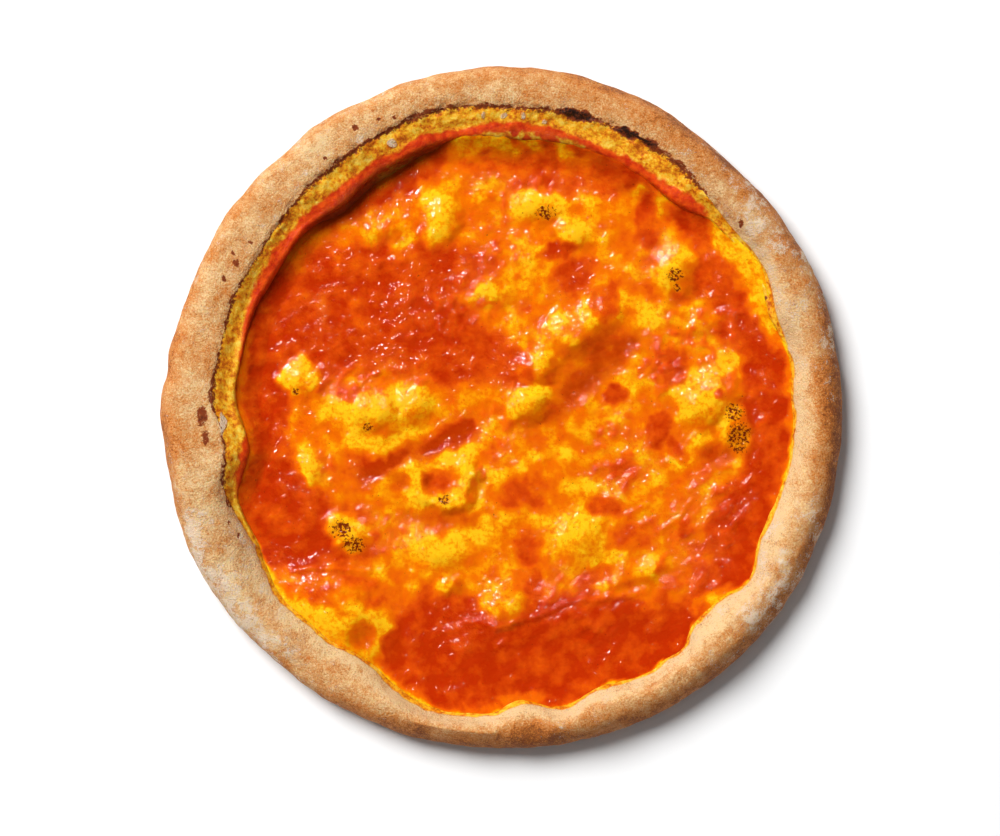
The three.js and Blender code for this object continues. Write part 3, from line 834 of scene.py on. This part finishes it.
def sauce_height(x, y):
    """The sauce's level: slow waves, finer ripples and the fold along the front."""
    waves = np.sin(x / 15 + 1.4 * np.sin(y / 21)) * np.cos(y / 13 - 0.9 * np.sin(x / 24))
    ripples = np.sin(x / 7 + y / 11) * np.cos(y / 8 - x / 13)
    fold = bell(y - FOLD_Y - FOLD_SLOPE * x, 2 * FOLD_HALF) * between(x, FOLD_FROM, FOLD_TO, FOLD_SOFT)
    return SAUCE_LEVEL + WAVE_HEIGHT * waves + RIPPLE_HEIGHT * ripples + FOLD_HEIGHT * fold


def highest_line(x, y, lines):
    """The highest mound at each place, from lines that each have a bell across them."""
    mound = np.zeros_like(x)
    for x1, y1, x2, y2, half, height in lines:
        mound = np.maximum(mound, height * bell(line_distance(x, y, x1, y1, x2, y2), half))
    return mound


# %% [markdown]
# Sauce never ends in a clean curve. Noise shakes the place of each point before the strokes are read, so
# that every edge runs in and out by a few millimetres. Along the rolled part of the rim a thin uneven
# line is left nearly bare, where the sauce has shrunk back.

# %% Paint with ragged edges
EDGE_BARE, EDGE_WIDTH = 0.92, 1.6
WIDE_EDGE_AT, WIDE_EDGE_HALF, WIDE_EDGE_MORE = 236, 40, 2.6

flat_points = np.column_stack((sauce_x, sauce_y, np.zeros_like(sauce_x)))
ragged_x = 2.6 * lumps(flat_points, 10, 41) + 1.6 * lumps(flat_points, 3.6, 42)
ragged_y = 2.6 * lumps(flat_points, 10, 43) + 1.6 * lumps(flat_points, 3.6, 44)
swells, knobs = lumps(flat_points, 12, 45), lumps(flat_points, 6, 49)
puckers = lumps(flat_points, 2.4, 50)
bare = painted(sauce_x, sauce_y, ragged_x, ragged_y)
from_edge = sauce_edge(sauce_angle) - sauce_radius
on_roll = 1 - smooth(stretches(sauce_angle, TORN_STRETCHES), 0.2, 0.9)
edge_width = EDGE_WIDTH + 1.6 * lumps(flat_points, 14, 53)
edge_width += WIDE_EDGE_MORE * bell(turn_between(sauce_angle, WIDE_EDGE_AT), WIDE_EDGE_HALF)
edge_share = 1 - smooth(from_edge + 0.5 * ragged_x, 0, np.maximum(edge_width, 0.1))
bare = mix(bare, EDGE_BARE, on_roll * edge_share)
print("share of bare dough:", round(float(smooth(bare, 0.6, 0.9).mean()), 2))

# %% [markdown]
# Pulp lies in the sauce as small soft lumps, crowded in some patches and thin between them. At the lower
# right the ladle has combed it into short ridges, so the noise there is drawn out in one direction.

# %% Pulp
COMB_TURN, COMB_STRETCH = math.radians(42), 2
PATCH_SIDE = (0.6, 1.4)  # where a patch's side starts and ends, as shares of its size
comb_cos, comb_sin = math.cos(COMB_TURN), math.sin(COMB_TURN)
along_comb = sauce_x * comb_cos + sauce_y * comb_sin
across_comb = sauce_y * comb_cos - sauce_x * comb_sin
combed_points = np.column_stack((along_comb / COMB_STRETCH, across_comb, np.zeros_like(bare)))
combed = smooth(sauce_x - sauce_y, 40, 130)
pulp = mix(lumps(flat_points, 4.8, 46), lumps(combed_points, 5, 47), combed)
small_pulp = mix(lumps(flat_points, 2.4, 51), lumps(combed_points, 2.4, 52), combed)
crowded = np.full_like(bare, THIN_PULP)
for row in PULP_PATCHES:
    across = egg_distance(sauce_x + ragged_x, sauce_y + ragged_y, row)
    crowded = np.maximum(crowded, row[5] * (1 - smooth(across, *PATCH_SIDE)))
print("pulp crowded on average:", round(float(crowded.mean()), 2))

# %% [markdown]
# The surface is added up: the level, the blisters, the creases and the crater, the ridges and the pulp.
# Sauce hides a part of each blister. The side of each blister away from the lamp, the lower right one,
# is noted, so that painted shade can be put on it in the colour.

# %% Blisters, creases and ridges in the surface
SWELL_HEIGHT, KNOB_HEIGHT = 0.35, 0.2
BLISTER_SHARE, CREASE_SHARE, RIDGE_SHARE = 0.75, 0.5, 0.8  # how much of each shows through the sauce
BLISTER_SHAKE, CREASE_SHAKE, RIDGE_SHAKE, CRATER_SHAKE = 0.9, 0.8, 0.4, 0.25  # how much noise shifts each
# The side of each blister away from the lamp is found by a short step to the front right, for painted
# shade
SHADED_STEP_X, SHADED_STEP_Y = 1.4, -1.7  # a short step to the front right
STEEP_SHADED_SIDE = 1.5  # a drop over two such steps that counts as steep
PULP_HEIGHT, SMALL_PULP_HEIGHT, DRY_PULP = 0.6, 0.1, 0.4

level = sauce_height(sauce_x, sauce_y) + SWELL_HEIGHT * swells + KNOB_HEIGHT * knobs
blister_x, blister_y = sauce_x + BLISTER_SHAKE * ragged_x, sauce_y + BLISTER_SHAKE * ragged_y
sauce_z = level + BLISTER_SHARE * dough_rise(blister_x, blister_y)
shaded_side = dough_rise(blister_x - SHADED_STEP_X, blister_y - SHADED_STEP_Y) - dough_rise(blister_x + SHADED_STEP_X, blister_y + SHADED_STEP_Y)
shaded_side = np.clip(shaded_side / STEEP_SHADED_SIDE, 0, 1)
valley = highest_line(sauce_x + CREASE_SHAKE * ragged_x, sauce_y + CREASE_SHAKE * ragged_y, CREASES)
crater_x, crater_y, crater_radius, crater_depth = CRATER
from_crater = np.hypot(
    sauce_x - crater_x + CRATER_SHAKE * ragged_x, sauce_y - crater_y + CRATER_SHAKE * ragged_y,
)
hollow = crater_depth * bell(from_crater, 1.4 * crater_radius)
in_crater = 1 - smooth(from_crater, 0.55 * crater_radius, 1.15 * crater_radius)
sauce_z -= CREASE_SHARE * valley + hollow
ridge = highest_line(sauce_x + RIDGE_SHAKE * ragged_x, sauce_y + RIDGE_SHAKE * ragged_y, RIDGES)
sauce_z += RIDGE_SHARE * ridge
wet_share = 1 - smooth(bare, 0.6, 0.95)
pulp_rise = PULP_HEIGHT * smooth(pulp, -0.1, 0.5) + SMALL_PULP_HEIGHT * small_pulp
sauce_z += crowded * pulp_rise * mix(DRY_PULP, 1, wet_share)
print("before the climb, mm:", round(float(sauce_z.min()), 1), "to", round(float(sauce_z.max()), 1))

# %% [markdown]
# Sauce doesn't stop dead at dough. It climbs a few millimetres up the wall, higher where the base was
# tilted in the oven, and not at all where the wall stands over it. At the very edge it dips, so that its
# rim is hidden.

# %% Climb at the wall
UNDERCUT_STRETCHES = [(98, 142, 12, 1)]  # where the torn wall stands over the sauce
CLIMB_HEIGHT, HIGH_CLIMB = 3.5, 4
CLIMB_WIDTH, CLIMB_CURVE, HIGH_CLIMB_BACK = 8, 1.5, 2
WET_PUCKER, DRY_PUCKER = 0.05, 0.14
EDGE_DIP, DIP_FROM = 0.5, 0.985  # in mm, and the share of the way out where it starts
SAUCE_UNDERSIDE = FLOOR_HEIGHT + 0.3
THINNEST_SAUCE = 0.4

high_climb = stretches(sauce_angle, HIGH_CLIMB_STRETCHES)
climb = CLIMB_HEIGHT * smooth(stretches(sauce_angle, TORN_STRETCHES), 0.2, 0.9)
climb = (climb + HIGH_CLIMB * high_climb) * (1 - stretches(sauce_angle, UNDERCUT_STRETCHES))
climb_back = HIGH_CLIMB_BACK * high_climb
climb_width = CLIMB_WIDTH + 2 * climb_back
climb_share = np.clip(1 - (from_edge + climb_back + 0.25 * ragged_x) / climb_width, 0, 1)
sauce_z += climb * climb_share**CLIMB_CURVE
sauce_z += mix(DRY_PUCKER, WET_PUCKER, wet_share) * puckers
sauce_z -= EDGE_DIP * smooth(sauce_share, DIP_FROM, 1)
sauce_z = np.maximum(sauce_z, SAUCE_UNDERSIDE + THINNEST_SAUCE)
print("sauce height, mm:", round(float(sauce_z.min()), 1), "to", round(float(sauce_z.max()), 1))

# %% [markdown]
# The colour has to follow the shape: scorched tops are bare, creases hold sauce, and pulp covers some of
# the thin parts. The creases, the crater, the sides of the blisters away from the lamp and the sauce
# under the ledge get painted shade. Under the ledge, dark red sauce and pale pockets of dough take turns.

# %% Fit the colour to the shape
SWELL_BARE, PUCKER_BARE = 0.22, 0.06  # how much noise shifts the bareness
SHADED_SIDE_RED, VALLEY_SAUCE, PULP_SAUCE = 0.28, 0.35, 0.24  # and how much redder these places are: painted shade on the blisters' shaded sides, sauce in creases and under thick pulp
# How strongly painted shade browns the creases, the blisters' shaded sides and the crater
VALLEY_DARK, SHADED_SIDE_DARK, CRATER_DARK = 0.8, 0.7, 0.6
SCORCHED_BARE, CRATER_BARE, LEFT_EDGE_BARE = 0.95, 0.4, 0.55
LEDGE_BARE, POCKET_BARE = 0.12, 0.84
UNDER_LEDGE_STRETCHES = [(58, 142, 12, 1)]
LEFT_EDGE_STRETCHES = [(156, 204, 14, 1)]  # where a thin orange line follows the wall

scorch = np.zeros_like(bare)
for x, y, long, wide in SCORCHES:
    scorch = np.maximum(scorch, spot(flat_points, x, y, long, wide))
bare = np.maximum(bare, SCORCHED_BARE * scorch)
uneven = SWELL_BARE * swells + SWELL_BARE * knobs + PUCKER_BARE * puckers
bare = bare + uneven * (1 - 0.5 * smooth(bare, 0.8, 0.95))
# Painted shade: the blisters' sides away from the lamp are made redder
bare = bare - (SHADED_SIDE_RED * shaded_side + VALLEY_SAUCE * valley) * (1 - 0.6 * scorch)
bare = mix(bare, CRATER_BARE, 0.9 * in_crater)
bare -= PULP_SAUCE * crowded * smooth(pulp, 0.05, 0.5) * between(bare, 0.3, 0.85, 0.15)
by_wall = 1 - smooth(from_edge + 0.6 * ragged_x, 1, 8)
under_ledge = stretches(sauce_angle, UNDER_LEDGE_STRETCHES) * by_wall
pocket_share = smooth(swells + knobs, -0.5, 0.3) * stretches(sauce_angle, POCKET_STRETCHES)
bare = mix(bare, mix(LEDGE_BARE, POCKET_BARE, pocket_share), under_ledge)
on_left_edge = 1 - smooth(from_edge + 0.5 * ragged_x, 0, 3.5)
on_left_edge = stretches(sauce_angle, LEFT_EDGE_STRETCHES) * on_left_edge
bare = mix(bare, LEFT_EDGE_BARE, on_left_edge)
# Painted shade: creases, the blisters' sides away from the lamp, the crater and the sauce under the ledge
# are browned
deep_and_shade = np.maximum(np.maximum(VALLEY_DARK * valley, SHADED_SIDE_DARK * shaded_side), CRATER_DARK * in_crater)
deep_and_shade = np.maximum(deep_and_shade, stretches(sauce_angle, DARK_STRETCHES) * by_wall)
pulp_mark = crowded * (0.35 + 0.65 * smooth(pulp, -0.2, 0.3))
print("darkened share of the sauce:", round(float(deep_and_shade.mean()), 2))

# %% [markdown]
# The lifted grid is still a sheet. Its outer edge is drawn down to the dough's floor and the hole
# underneath is filled, so that the sauce is a closed piece like its solid. The points of that skirt are
# hidden and have no marks.

# %% Lift the grid and close it underneath
put(sauce_mesh, np.column_stack((sauce_x, sauce_y, sauce_z)))
rim_edges = [edge for edge in sauce_mesh.edges if edge.is_boundary]
skirt = bmesh.ops.extrude_edge_only(sauce_mesh, edges=rim_edges)
skirt_points = [item for item in skirt["geom"] if isinstance(item, bmesh.types.BMVert)]
for vertex in skirt_points:
    vertex.co.z = SAUCE_UNDERSIDE
open_edges = [edge for edge in sauce_mesh.edges if edge.is_boundary]
bmesh.ops.holes_fill(sauce_mesh, edges=open_edges, sides=0)
bmesh.ops.recalc_face_normals(sauce_mesh, faces=sauce_mesh.faces[:])
print("sauce closed:", all(edge.is_manifold for edge in sauce_mesh.edges))

hidden = np.zeros(len(skirt_points))
sauce_marks = {"bare": bare, "scorch": scorch, "deep_and_shade": deep_and_shade, "pulp": pulp_mark}
sauce = make_piece("wet_sauce", sauce_mesh, {
    mark: np.concatenate((values, hidden)) for mark, values in sauce_marks.items()
})

# %% [markdown]
# A finish is a small tree of nodes. These helpers keep each line short: one adds a node with its
# settings, and one joins an output to an input. They could be wired by hand in the shader editor, but as
# calls the finish can be read like a recipe.

# %% Helpers that start and feed a finish
def new_finish(name):
    """A material with its Principled shader and its output only."""
    finish = bpy.data.materials.new(name)
    finish.use_nodes = True
    tree = finish.node_tree
    tree.nodes.clear()
    shader = tree.nodes.new("ShaderNodeBsdfPrincipled")
    output = tree.nodes.new("ShaderNodeOutputMaterial")
    tree.links.new(shader.outputs[0], output.inputs["Surface"])
    return finish, tree, shader


def feed(tree, socket, value):
    """Joins an output to a socket, or sets a number or a colour on it."""
    if isinstance(value, bpy.types.NodeSocket):
        tree.links.new(value, socket)
    else:
        socket.default_value = value


def mark_of(tree, name):
    node = tree.nodes.new("ShaderNodeAttribute")
    node.attribute_name = name
    return node.outputs["Fac"]


# %% Helpers for patterns, sums and steps
def grain_of(tree, size, detail=3.0, roughness=0.5, stretch=1, turn=0):
    """Noise from 0 to 1 on the piece, with lumps about size mm across, drawn out towards turn."""
    place = tree.nodes.new("ShaderNodeTexCoord")
    mapping = tree.nodes.new("ShaderNodeMapping")
    mapping.vector_type = "TEXTURE"
    mapping.inputs["Rotation"].default_value = (0, 0, turn)
    mapping.inputs["Scale"].default_value = (stretch, 1, 1)
    tree.links.new(place.outputs["Object"], mapping.inputs["Vector"])
    node = tree.nodes.new("ShaderNodeTexNoise")
    node.inputs["Scale"].default_value = 1 / (size * MM)
    node.inputs["Detail"].default_value = detail
    node.inputs["Roughness"].default_value = roughness
    tree.links.new(mapping.outputs[0], node.inputs["Vector"])
    return node.outputs["Fac"]


def sum_of(tree, *terms):
    """The sum of value times weight over the terms."""
    total = None
    for value, weight in terms:
        node = tree.nodes.new("ShaderNodeMath")
        node.operation = "MULTIPLY_ADD"
        feed(tree, node.inputs[0], value)
        node.inputs[1].default_value = weight
        feed(tree, node.inputs[2], 0.0 if total is None else total)
        total = node.outputs[0]
    return total


def times(tree, a, b):
    node = tree.nodes.new("ShaderNodeMath")
    node.operation = "MULTIPLY"
    feed(tree, node.inputs[0], a)
    feed(tree, node.inputs[1], b)
    return node.outputs[0]


def step_of(tree, value, low, high, to_low=0.0, to_high=1.0):
    """A smooth step from to_low to to_high as value goes from low to high."""
    node = tree.nodes.new("ShaderNodeMapRange")
    node.interpolation_type = "SMOOTHSTEP"
    feed(tree, node.inputs["Value"], value)
    for name, number in (("From Min", low), ("From Max", high), ("To Min", to_low), ("To Max", to_high)):
        node.inputs[name].default_value = number
    return node.outputs[0]


# %% Helpers for colours and relief
def paint(colour):
    """A colour given as on a screen, 0 to 255, as the light it stands for."""
    light = [((c / 255 + 0.055) / 1.055) ** 2.4 if c > 10 else c / 255 / 12.92 for c in colour]
    return (*light, 1.0)


def ramp_of(tree, value, stops):
    """A colour ramp: each stop is a place from 0 to 1 and a colour as on a screen."""
    node = tree.nodes.new("ShaderNodeValToRGB")
    feed(tree, node.inputs["Fac"], value)
    band = node.color_ramp
    while len(band.elements) < len(stops):
        band.elements.new(1.0)
    for element, (place, colour) in zip(band.elements, stops):
        element.position = place
        element.color = paint(colour)
    return node.outputs["Color"]


def blend_of(tree, share, under, over):
    node = tree.nodes.new("ShaderNodeMix")
    node.data_type = "RGBA"
    feed(tree, node.inputs["Factor"], share)
    for socket, colour in ((node.inputs["A"], under), (node.inputs["B"], over)):
        feed(tree, socket, paint(colour) if isinstance(colour, tuple) else colour)
    return node.outputs["Result"]


def relief_of(tree, height, distance, strength=1.0, under=None):
    node = tree.nodes.new("ShaderNodeBump")
    node.inputs["Distance"].default_value = distance * MM
    node.inputs["Strength"].default_value = strength
    feed(tree, node.inputs["Height"], height)
    if under is not None:
        tree.links.new(under, node.inputs["Normal"])
    return node.outputs["Normal"]


# %% [markdown]
# Wet sauce: the painted bareness is broken up by pulp, then read through a ramp from dark red over orange
# to yellow. Freckles of dough show where the sauce is thin. Creases, the crater, the blisters' sides away
# from the lamp and the sauce under the ledge are browned as painted shade. Thick pulp is a clearer,
# lighter red, partly the pulp's own colour and partly painted sheen, and little dark specks scorch the
# tops of some blisters. An image of sauce could be laid on instead, but noise stays sharp close up and
# can follow the marks.

# %% Colour of the sauce
SAUCE_COLOURS = [
    (0.0, (188, 46, 3)),
    (0.25, (214, 78, 8)),
    (0.4, (228, 102, 6)),
    (0.55, (232, 116, 2)),
    (0.7, (238, 144, 6)),
    (0.84, (244, 166, 8)),
    (1.0, (248, 194, 24)),
]
SHADE_BROWN, PULP_RED_AND_SHEEN = (172, 70, 0), (240, 92, 26)
SCORCH_HALO, SCORCH_SPECK = (216, 112, 6), (116, 38, 8)

sauce_finish, tree, shader = new_finish("tomato_sauce_wet")
pulp_grain = grain_of(tree, 5, 3.0, 0.5)
flecks = grain_of(tree, 1.7, 4.0, 0.6)
dry = mark_of(tree, "bare")
freckles = times(tree, step_of(tree, flecks, 0.34, 0.6), step_of(tree, dry, 0.55, 0.9))
bareness = sum_of(tree, (dry, 0.88), (freckles, 0.28), (pulp_grain, 0.6), (flecks, 0.2), (1.0, -0.42))
colour = ramp_of(tree, bareness, SAUCE_COLOURS)
# Painted shade browns the colour in creases, on shaded sides, in the crater and under the ledge
colour = blend_of(tree, sum_of(tree, (mark_of(tree, "deep_and_shade"), 0.5)), colour, SHADE_BROWN)
pulpy = times(tree, mark_of(tree, "pulp"), step_of(tree, grain_of(tree, 7, 2.0, 0.5), 0.36, 0.54))
# Thick pulp is blended to a lighter red: partly the pulp's own colour, partly painted sheen
colour = blend_of(tree, sum_of(tree, (pulpy, 0.25)), colour, PULP_RED_AND_SHEEN)
scorched = mark_of(tree, "scorch")
colour = blend_of(tree, sum_of(tree, (scorched, 0.5)), colour, SCORCH_HALO)
speck_size = sum_of(tree, (scorched, 0.23), (grain_of(tree, 1.2, 3.0, 0.6), 1.0))
colour = blend_of(tree, step_of(tree, speck_size, 0.67, 0.78), colour, SCORCH_SPECK)
feed(tree, shader.inputs["Base Color"], colour)
print("sauce colours:", len(SAUCE_COLOURS))

# %% [markdown]
# The wet look is a thin clear coat over a dull body, because one glossy surface would lay a pale veil
# over the red. The coat has its own fine relief, which breaks the lamp's reflection into small glints,
# more where pulp lies thick. Light also goes a little way into the sauce, red the furthest.

# %% Shine of the sauce
WET_COAT, SCORCHED_COAT = 0.9, 0.2
shader.inputs["Roughness"].default_value = 0.4
shader.inputs["Specular IOR Level"].default_value = 0.0
feed(tree, shader.inputs["Coat Weight"], step_of(tree, scorched, 0.0, 0.6, WET_COAT, SCORCHED_COAT))
shader.inputs["Coat Roughness"].default_value = 0.06
shader.inputs["Subsurface Weight"].default_value = 0.6
shader.inputs["Subsurface Radius"].default_value = (1, 0.35, 0.1)
shader.inputs["Subsurface Scale"].default_value = 2.5 * MM
bits = step_of(tree, grain_of(tree, 2.2, 2.0, 0.5), 0.44, 0.68)
relief = relief_of(tree, bits, 0.1)
feed(tree, shader.inputs["Normal"], relief)
fine_pulp = grain_of(tree, 1.7, 1.5, 0.5, 1.5, COMB_TURN)
sparkle = times(tree, fine_pulp, sum_of(tree, (pulpy, 0.45), (1.0, 0.14)))
feed(tree, shader.inputs["Coat Normal"], relief_of(tree, sparkle, 1.6, 1.0, relief))
sauce.data.materials.append(sauce_finish)
print("finish of the sauce:", sauce_finish.name)

# %% [markdown]
# Baked dough: tan, browned in clouds, with dull white flour in patches and gritty all over. Noise at five
# sizes, from clouds down to dust, is added to the toast and flour marks, so that their edges are ragged.
# One noise with more detail would be simpler, but it can't be strong at just the sizes that dough shows.

# %% Colour of the dough
DOUGH_COLOURS = [
    (0.08, (232, 198, 146)),
    (0.26, (222, 172, 115)),
    (0.44, (208, 148, 88)),
    (0.66, (206, 122, 48)),
    (0.98, (138, 72, 26)),
]
FLOUR_WHITE, SPECK_BROWN = (230, 208, 182), (150, 88, 44)

crust_finish, tree, shader = new_finish("baked_dough")
clouds = grain_of(tree, 7, 4.0, 0.55)
blotches = grain_of(tree, 2.6, 4.0, 0.6)
grit = grain_of(tree, 0.9, 3.0, 0.65)
dust = grain_of(tree, 0.55, 2.0, 0.7)
patches = grain_of(tree, 4.5, 5.0, 0.7)
toasted = sum_of(
    tree,
    (clouds, 0.8), (blotches, 0.7), (grit, 1.1), (dust, 1.0), (mark_of(tree, "toast"), 0.9), (1.0, -1.8),
)
colour = ramp_of(tree, toasted, DOUGH_COLOURS)
flour_share = sum_of(tree, (mark_of(tree, "flour"), 0.5), (patches, 1.3), (grit, 0.7), (dust, 0.9))
flour_here = step_of(tree, flour_share, 1.8, 1.94, 0.0, 0.85)
colour = blend_of(tree, flour_here, colour, FLOUR_WHITE)
speckled = sum_of(tree, (grain_of(tree, 0.8, 2.0, 0.6), 1.0), (clouds, 0.3))
colour = blend_of(tree, step_of(tree, speckled, 0.75, 0.84, 0.0, 0.55), colour, SPECK_BROWN)
print("dough colours:", len(DOUGH_COLOURS))

# %% [markdown]
# On the torn wall the dough is yellow with oil, with the red stain of the sauce up to the ledge, painted
# shade under it, and the charred line on the lip over all of them. Each layer covers the ones before it.

# %% Colour of the torn wall
OILY_COLOURS = [
    (0.46, (190, 88, 4)),
    (0.54, (226, 132, 12)),
    (0.63, (246, 180, 28)),
    (0.76, (254, 212, 86)),
]
STAIN_COLOURS = [(0.36, (206, 46, 0)), (0.62, (238, 84, 4))]
LEDGE_SHADE, CHAR_EDGE, CHAR_BLACK = (112, 40, 0), (136, 58, 20), (44, 22, 14)

oily = step_of(tree, sum_of(tree, (mark_of(tree, "oil"), 1.0), (grain_of(tree, 2.0), 0.4)), 0.5, 0.9)
oil_grain = sum_of(tree, (grain_of(tree, 5, 3.0, 0.6), 0.7), (grain_of(tree, 1.4, 3.0, 0.6), 0.5))
colour = blend_of(tree, oily, colour, ramp_of(tree, oil_grain, OILY_COLOURS))
stained = sum_of(tree, (mark_of(tree, "stain"), 1.0), (grain_of(tree, 3.0, 2.0), 0.7))
red = step_of(tree, stained, 0.6, 1.15)
colour = blend_of(tree, red, colour, ramp_of(tree, grain_of(tree, 3.2, 3.0), STAIN_COLOURS))
# Painted shade under the ledge
colour = blend_of(tree, sum_of(tree, (mark_of(tree, "shade"), 0.65)), colour, LEDGE_SHADE)
burnt = sum_of(tree, (mark_of(tree, "char"), 1.0), (grain_of(tree, 1.3, 4.0, 0.65), 1.3))
colour = blend_of(tree, step_of(tree, burnt, 0.95, 1.2), colour, CHAR_EDGE)
colour = blend_of(tree, step_of(tree, burnt, 1.3, 1.7), colour, CHAR_BLACK)
feed(tree, shader.inputs["Base Color"], colour)
print("wall colours:", len(OILY_COLOURS) + len(STAIN_COLOURS))

# %% [markdown]
# Dough is dull and rough where dry, and shines a little where oil or sauce has soaked in. Two layers of
# relief make it gritty: patches of flour a few tenths of a millimetre thick, and fine grit on top.

# %% Roughness and relief of the crust
DRY_ROUGHNESS, OILY_ROUGHNESS = 0.85, 0.42
soaked_share = sum_of(tree, (oily, 0.5), (red, 0.5))
roughness = step_of(tree, soaked_share, 0.0, 0.6, DRY_ROUGHNESS, OILY_ROUGHNESS)
feed(tree, shader.inputs["Roughness"], roughness)
shader.inputs["Subsurface Weight"].default_value = 0.3
shader.inputs["Subsurface Radius"].default_value = (1, 0.5, 0.2)
shader.inputs["Subsurface Scale"].default_value = 4 * MM
coarse = relief_of(tree, sum_of(tree, (patches, 1.0), (flour_here, 0.12)), 0.45, 0.8)
dry_grit = times(tree, grit, step_of(tree, oily, 0.0, 1.0, 1.0, 0.35))
feed(tree, shader.inputs["Normal"], relief_of(tree, dry_grit, 0.9, 1.0, coarse))
crust.data.materials.append(crust_finish)
print("finish of the crust:", crust_finish.name)

# %% [markdown]
# Each piece is tied to the body that it moves with, and the solid that it is shown instead of is hidden.
# This base has one body, because nothing on it moves.

# %% Tie the pieces to the model
for piece, node, slot in ((crust, "crust", "baked_crust"), (sauce, "tomato_sauce", "tomato_sauce")):
    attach(piece, "root")
    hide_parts(node)
    print(piece.name, "stands for", node)

# %% [markdown]
# A white floor, and two round lamps in the same direction at the upper left. The wide one gives the shade
# and the shadow: its height sets how far the shadow reaches, and its width how softly it ends. Its
# reflection would lay a milky veil on the sauce, so it is hidden from reflections, and a small lamp that
# only reflections see gives the crisp wet glints. A little light comes from all round.

# %% Floor and light
LIGHT_HEADING, LIGHT_RISE = math.radians(130), math.radians(51)
SOFT_DISTANCE, SOFT_WIDTH, SOFT_POWER = 4.0, 2.45, 236
GLINT_DISTANCE, GLINT_WIDTH, GLINT_POWER = 3.6, 0.66, 62
FLOOR_SIZE = 6
PAPER_WHITES = [(243, 243, 243), (245, 245, 245)]
SKY_STRENGTH = 0.18

floor_mesh = bmesh.new()
bmesh.ops.create_grid(floor_mesh, x_segments=1, y_segments=1, size=FLOOR_SIZE / 2)
floor_data = bpy.data.meshes.new("floor")
floor_mesh.to_mesh(floor_data)
floor_mesh.free()
floor = bpy.data.objects.new("floor", floor_data)
bpy.context.scene.collection.objects.link(floor)
floor_finish, tree, shader = new_finish("white_paper")
shade = step_of(tree, grain_of(tree, 900, 1.0), 0.3, 0.7)
feed(tree, shader.inputs["Base Color"], blend_of(tree, shade, *PAPER_WHITES))
shader.inputs["Roughness"].default_value = 0.9
floor_data.materials.append(floor_finish)
print("floor, m:", FLOOR_SIZE)


# %% Two round lamps and the light from all round
def round_light(name, distance, width, power):
    """A round lamp at the upper left that faces the base's middle."""
    lamp = bpy.data.lights.new(name, "AREA")
    lamp.shape = "DISK"
    lamp.size = width
    lamp.energy = power
    light = bpy.data.objects.new(name, lamp)
    bpy.context.scene.collection.objects.link(light)
    light.location = distance * Vector((
        math.cos(LIGHT_RISE) * math.cos(LIGHT_HEADING),
        math.cos(LIGHT_RISE) * math.sin(LIGHT_HEADING),
        math.sin(LIGHT_RISE),
    ))
    light.rotation_euler = light.location.to_track_quat("Z", "Y").to_euler()
    return light


soft_light = round_light("soft_light", SOFT_DISTANCE, SOFT_WIDTH, SOFT_POWER)
soft_light.visible_glossy = False
glint_light = round_light("glint_light", GLINT_DISTANCE, GLINT_WIDTH, GLINT_POWER)
glint_light.visible_diffuse = False

world = bpy.data.worlds.new("studio")
world.use_nodes = True
world.node_tree.nodes["Background"].inputs["Color"].default_value = (1, 1, 1, 1)
world.node_tree.nodes["Background"].inputs["Strength"].default_value = SKY_STRENGTH
bpy.context.scene.world = world
world.cycles_visibility.glossy = False
bpy.context.scene.view_settings.view_transform = "Standard"
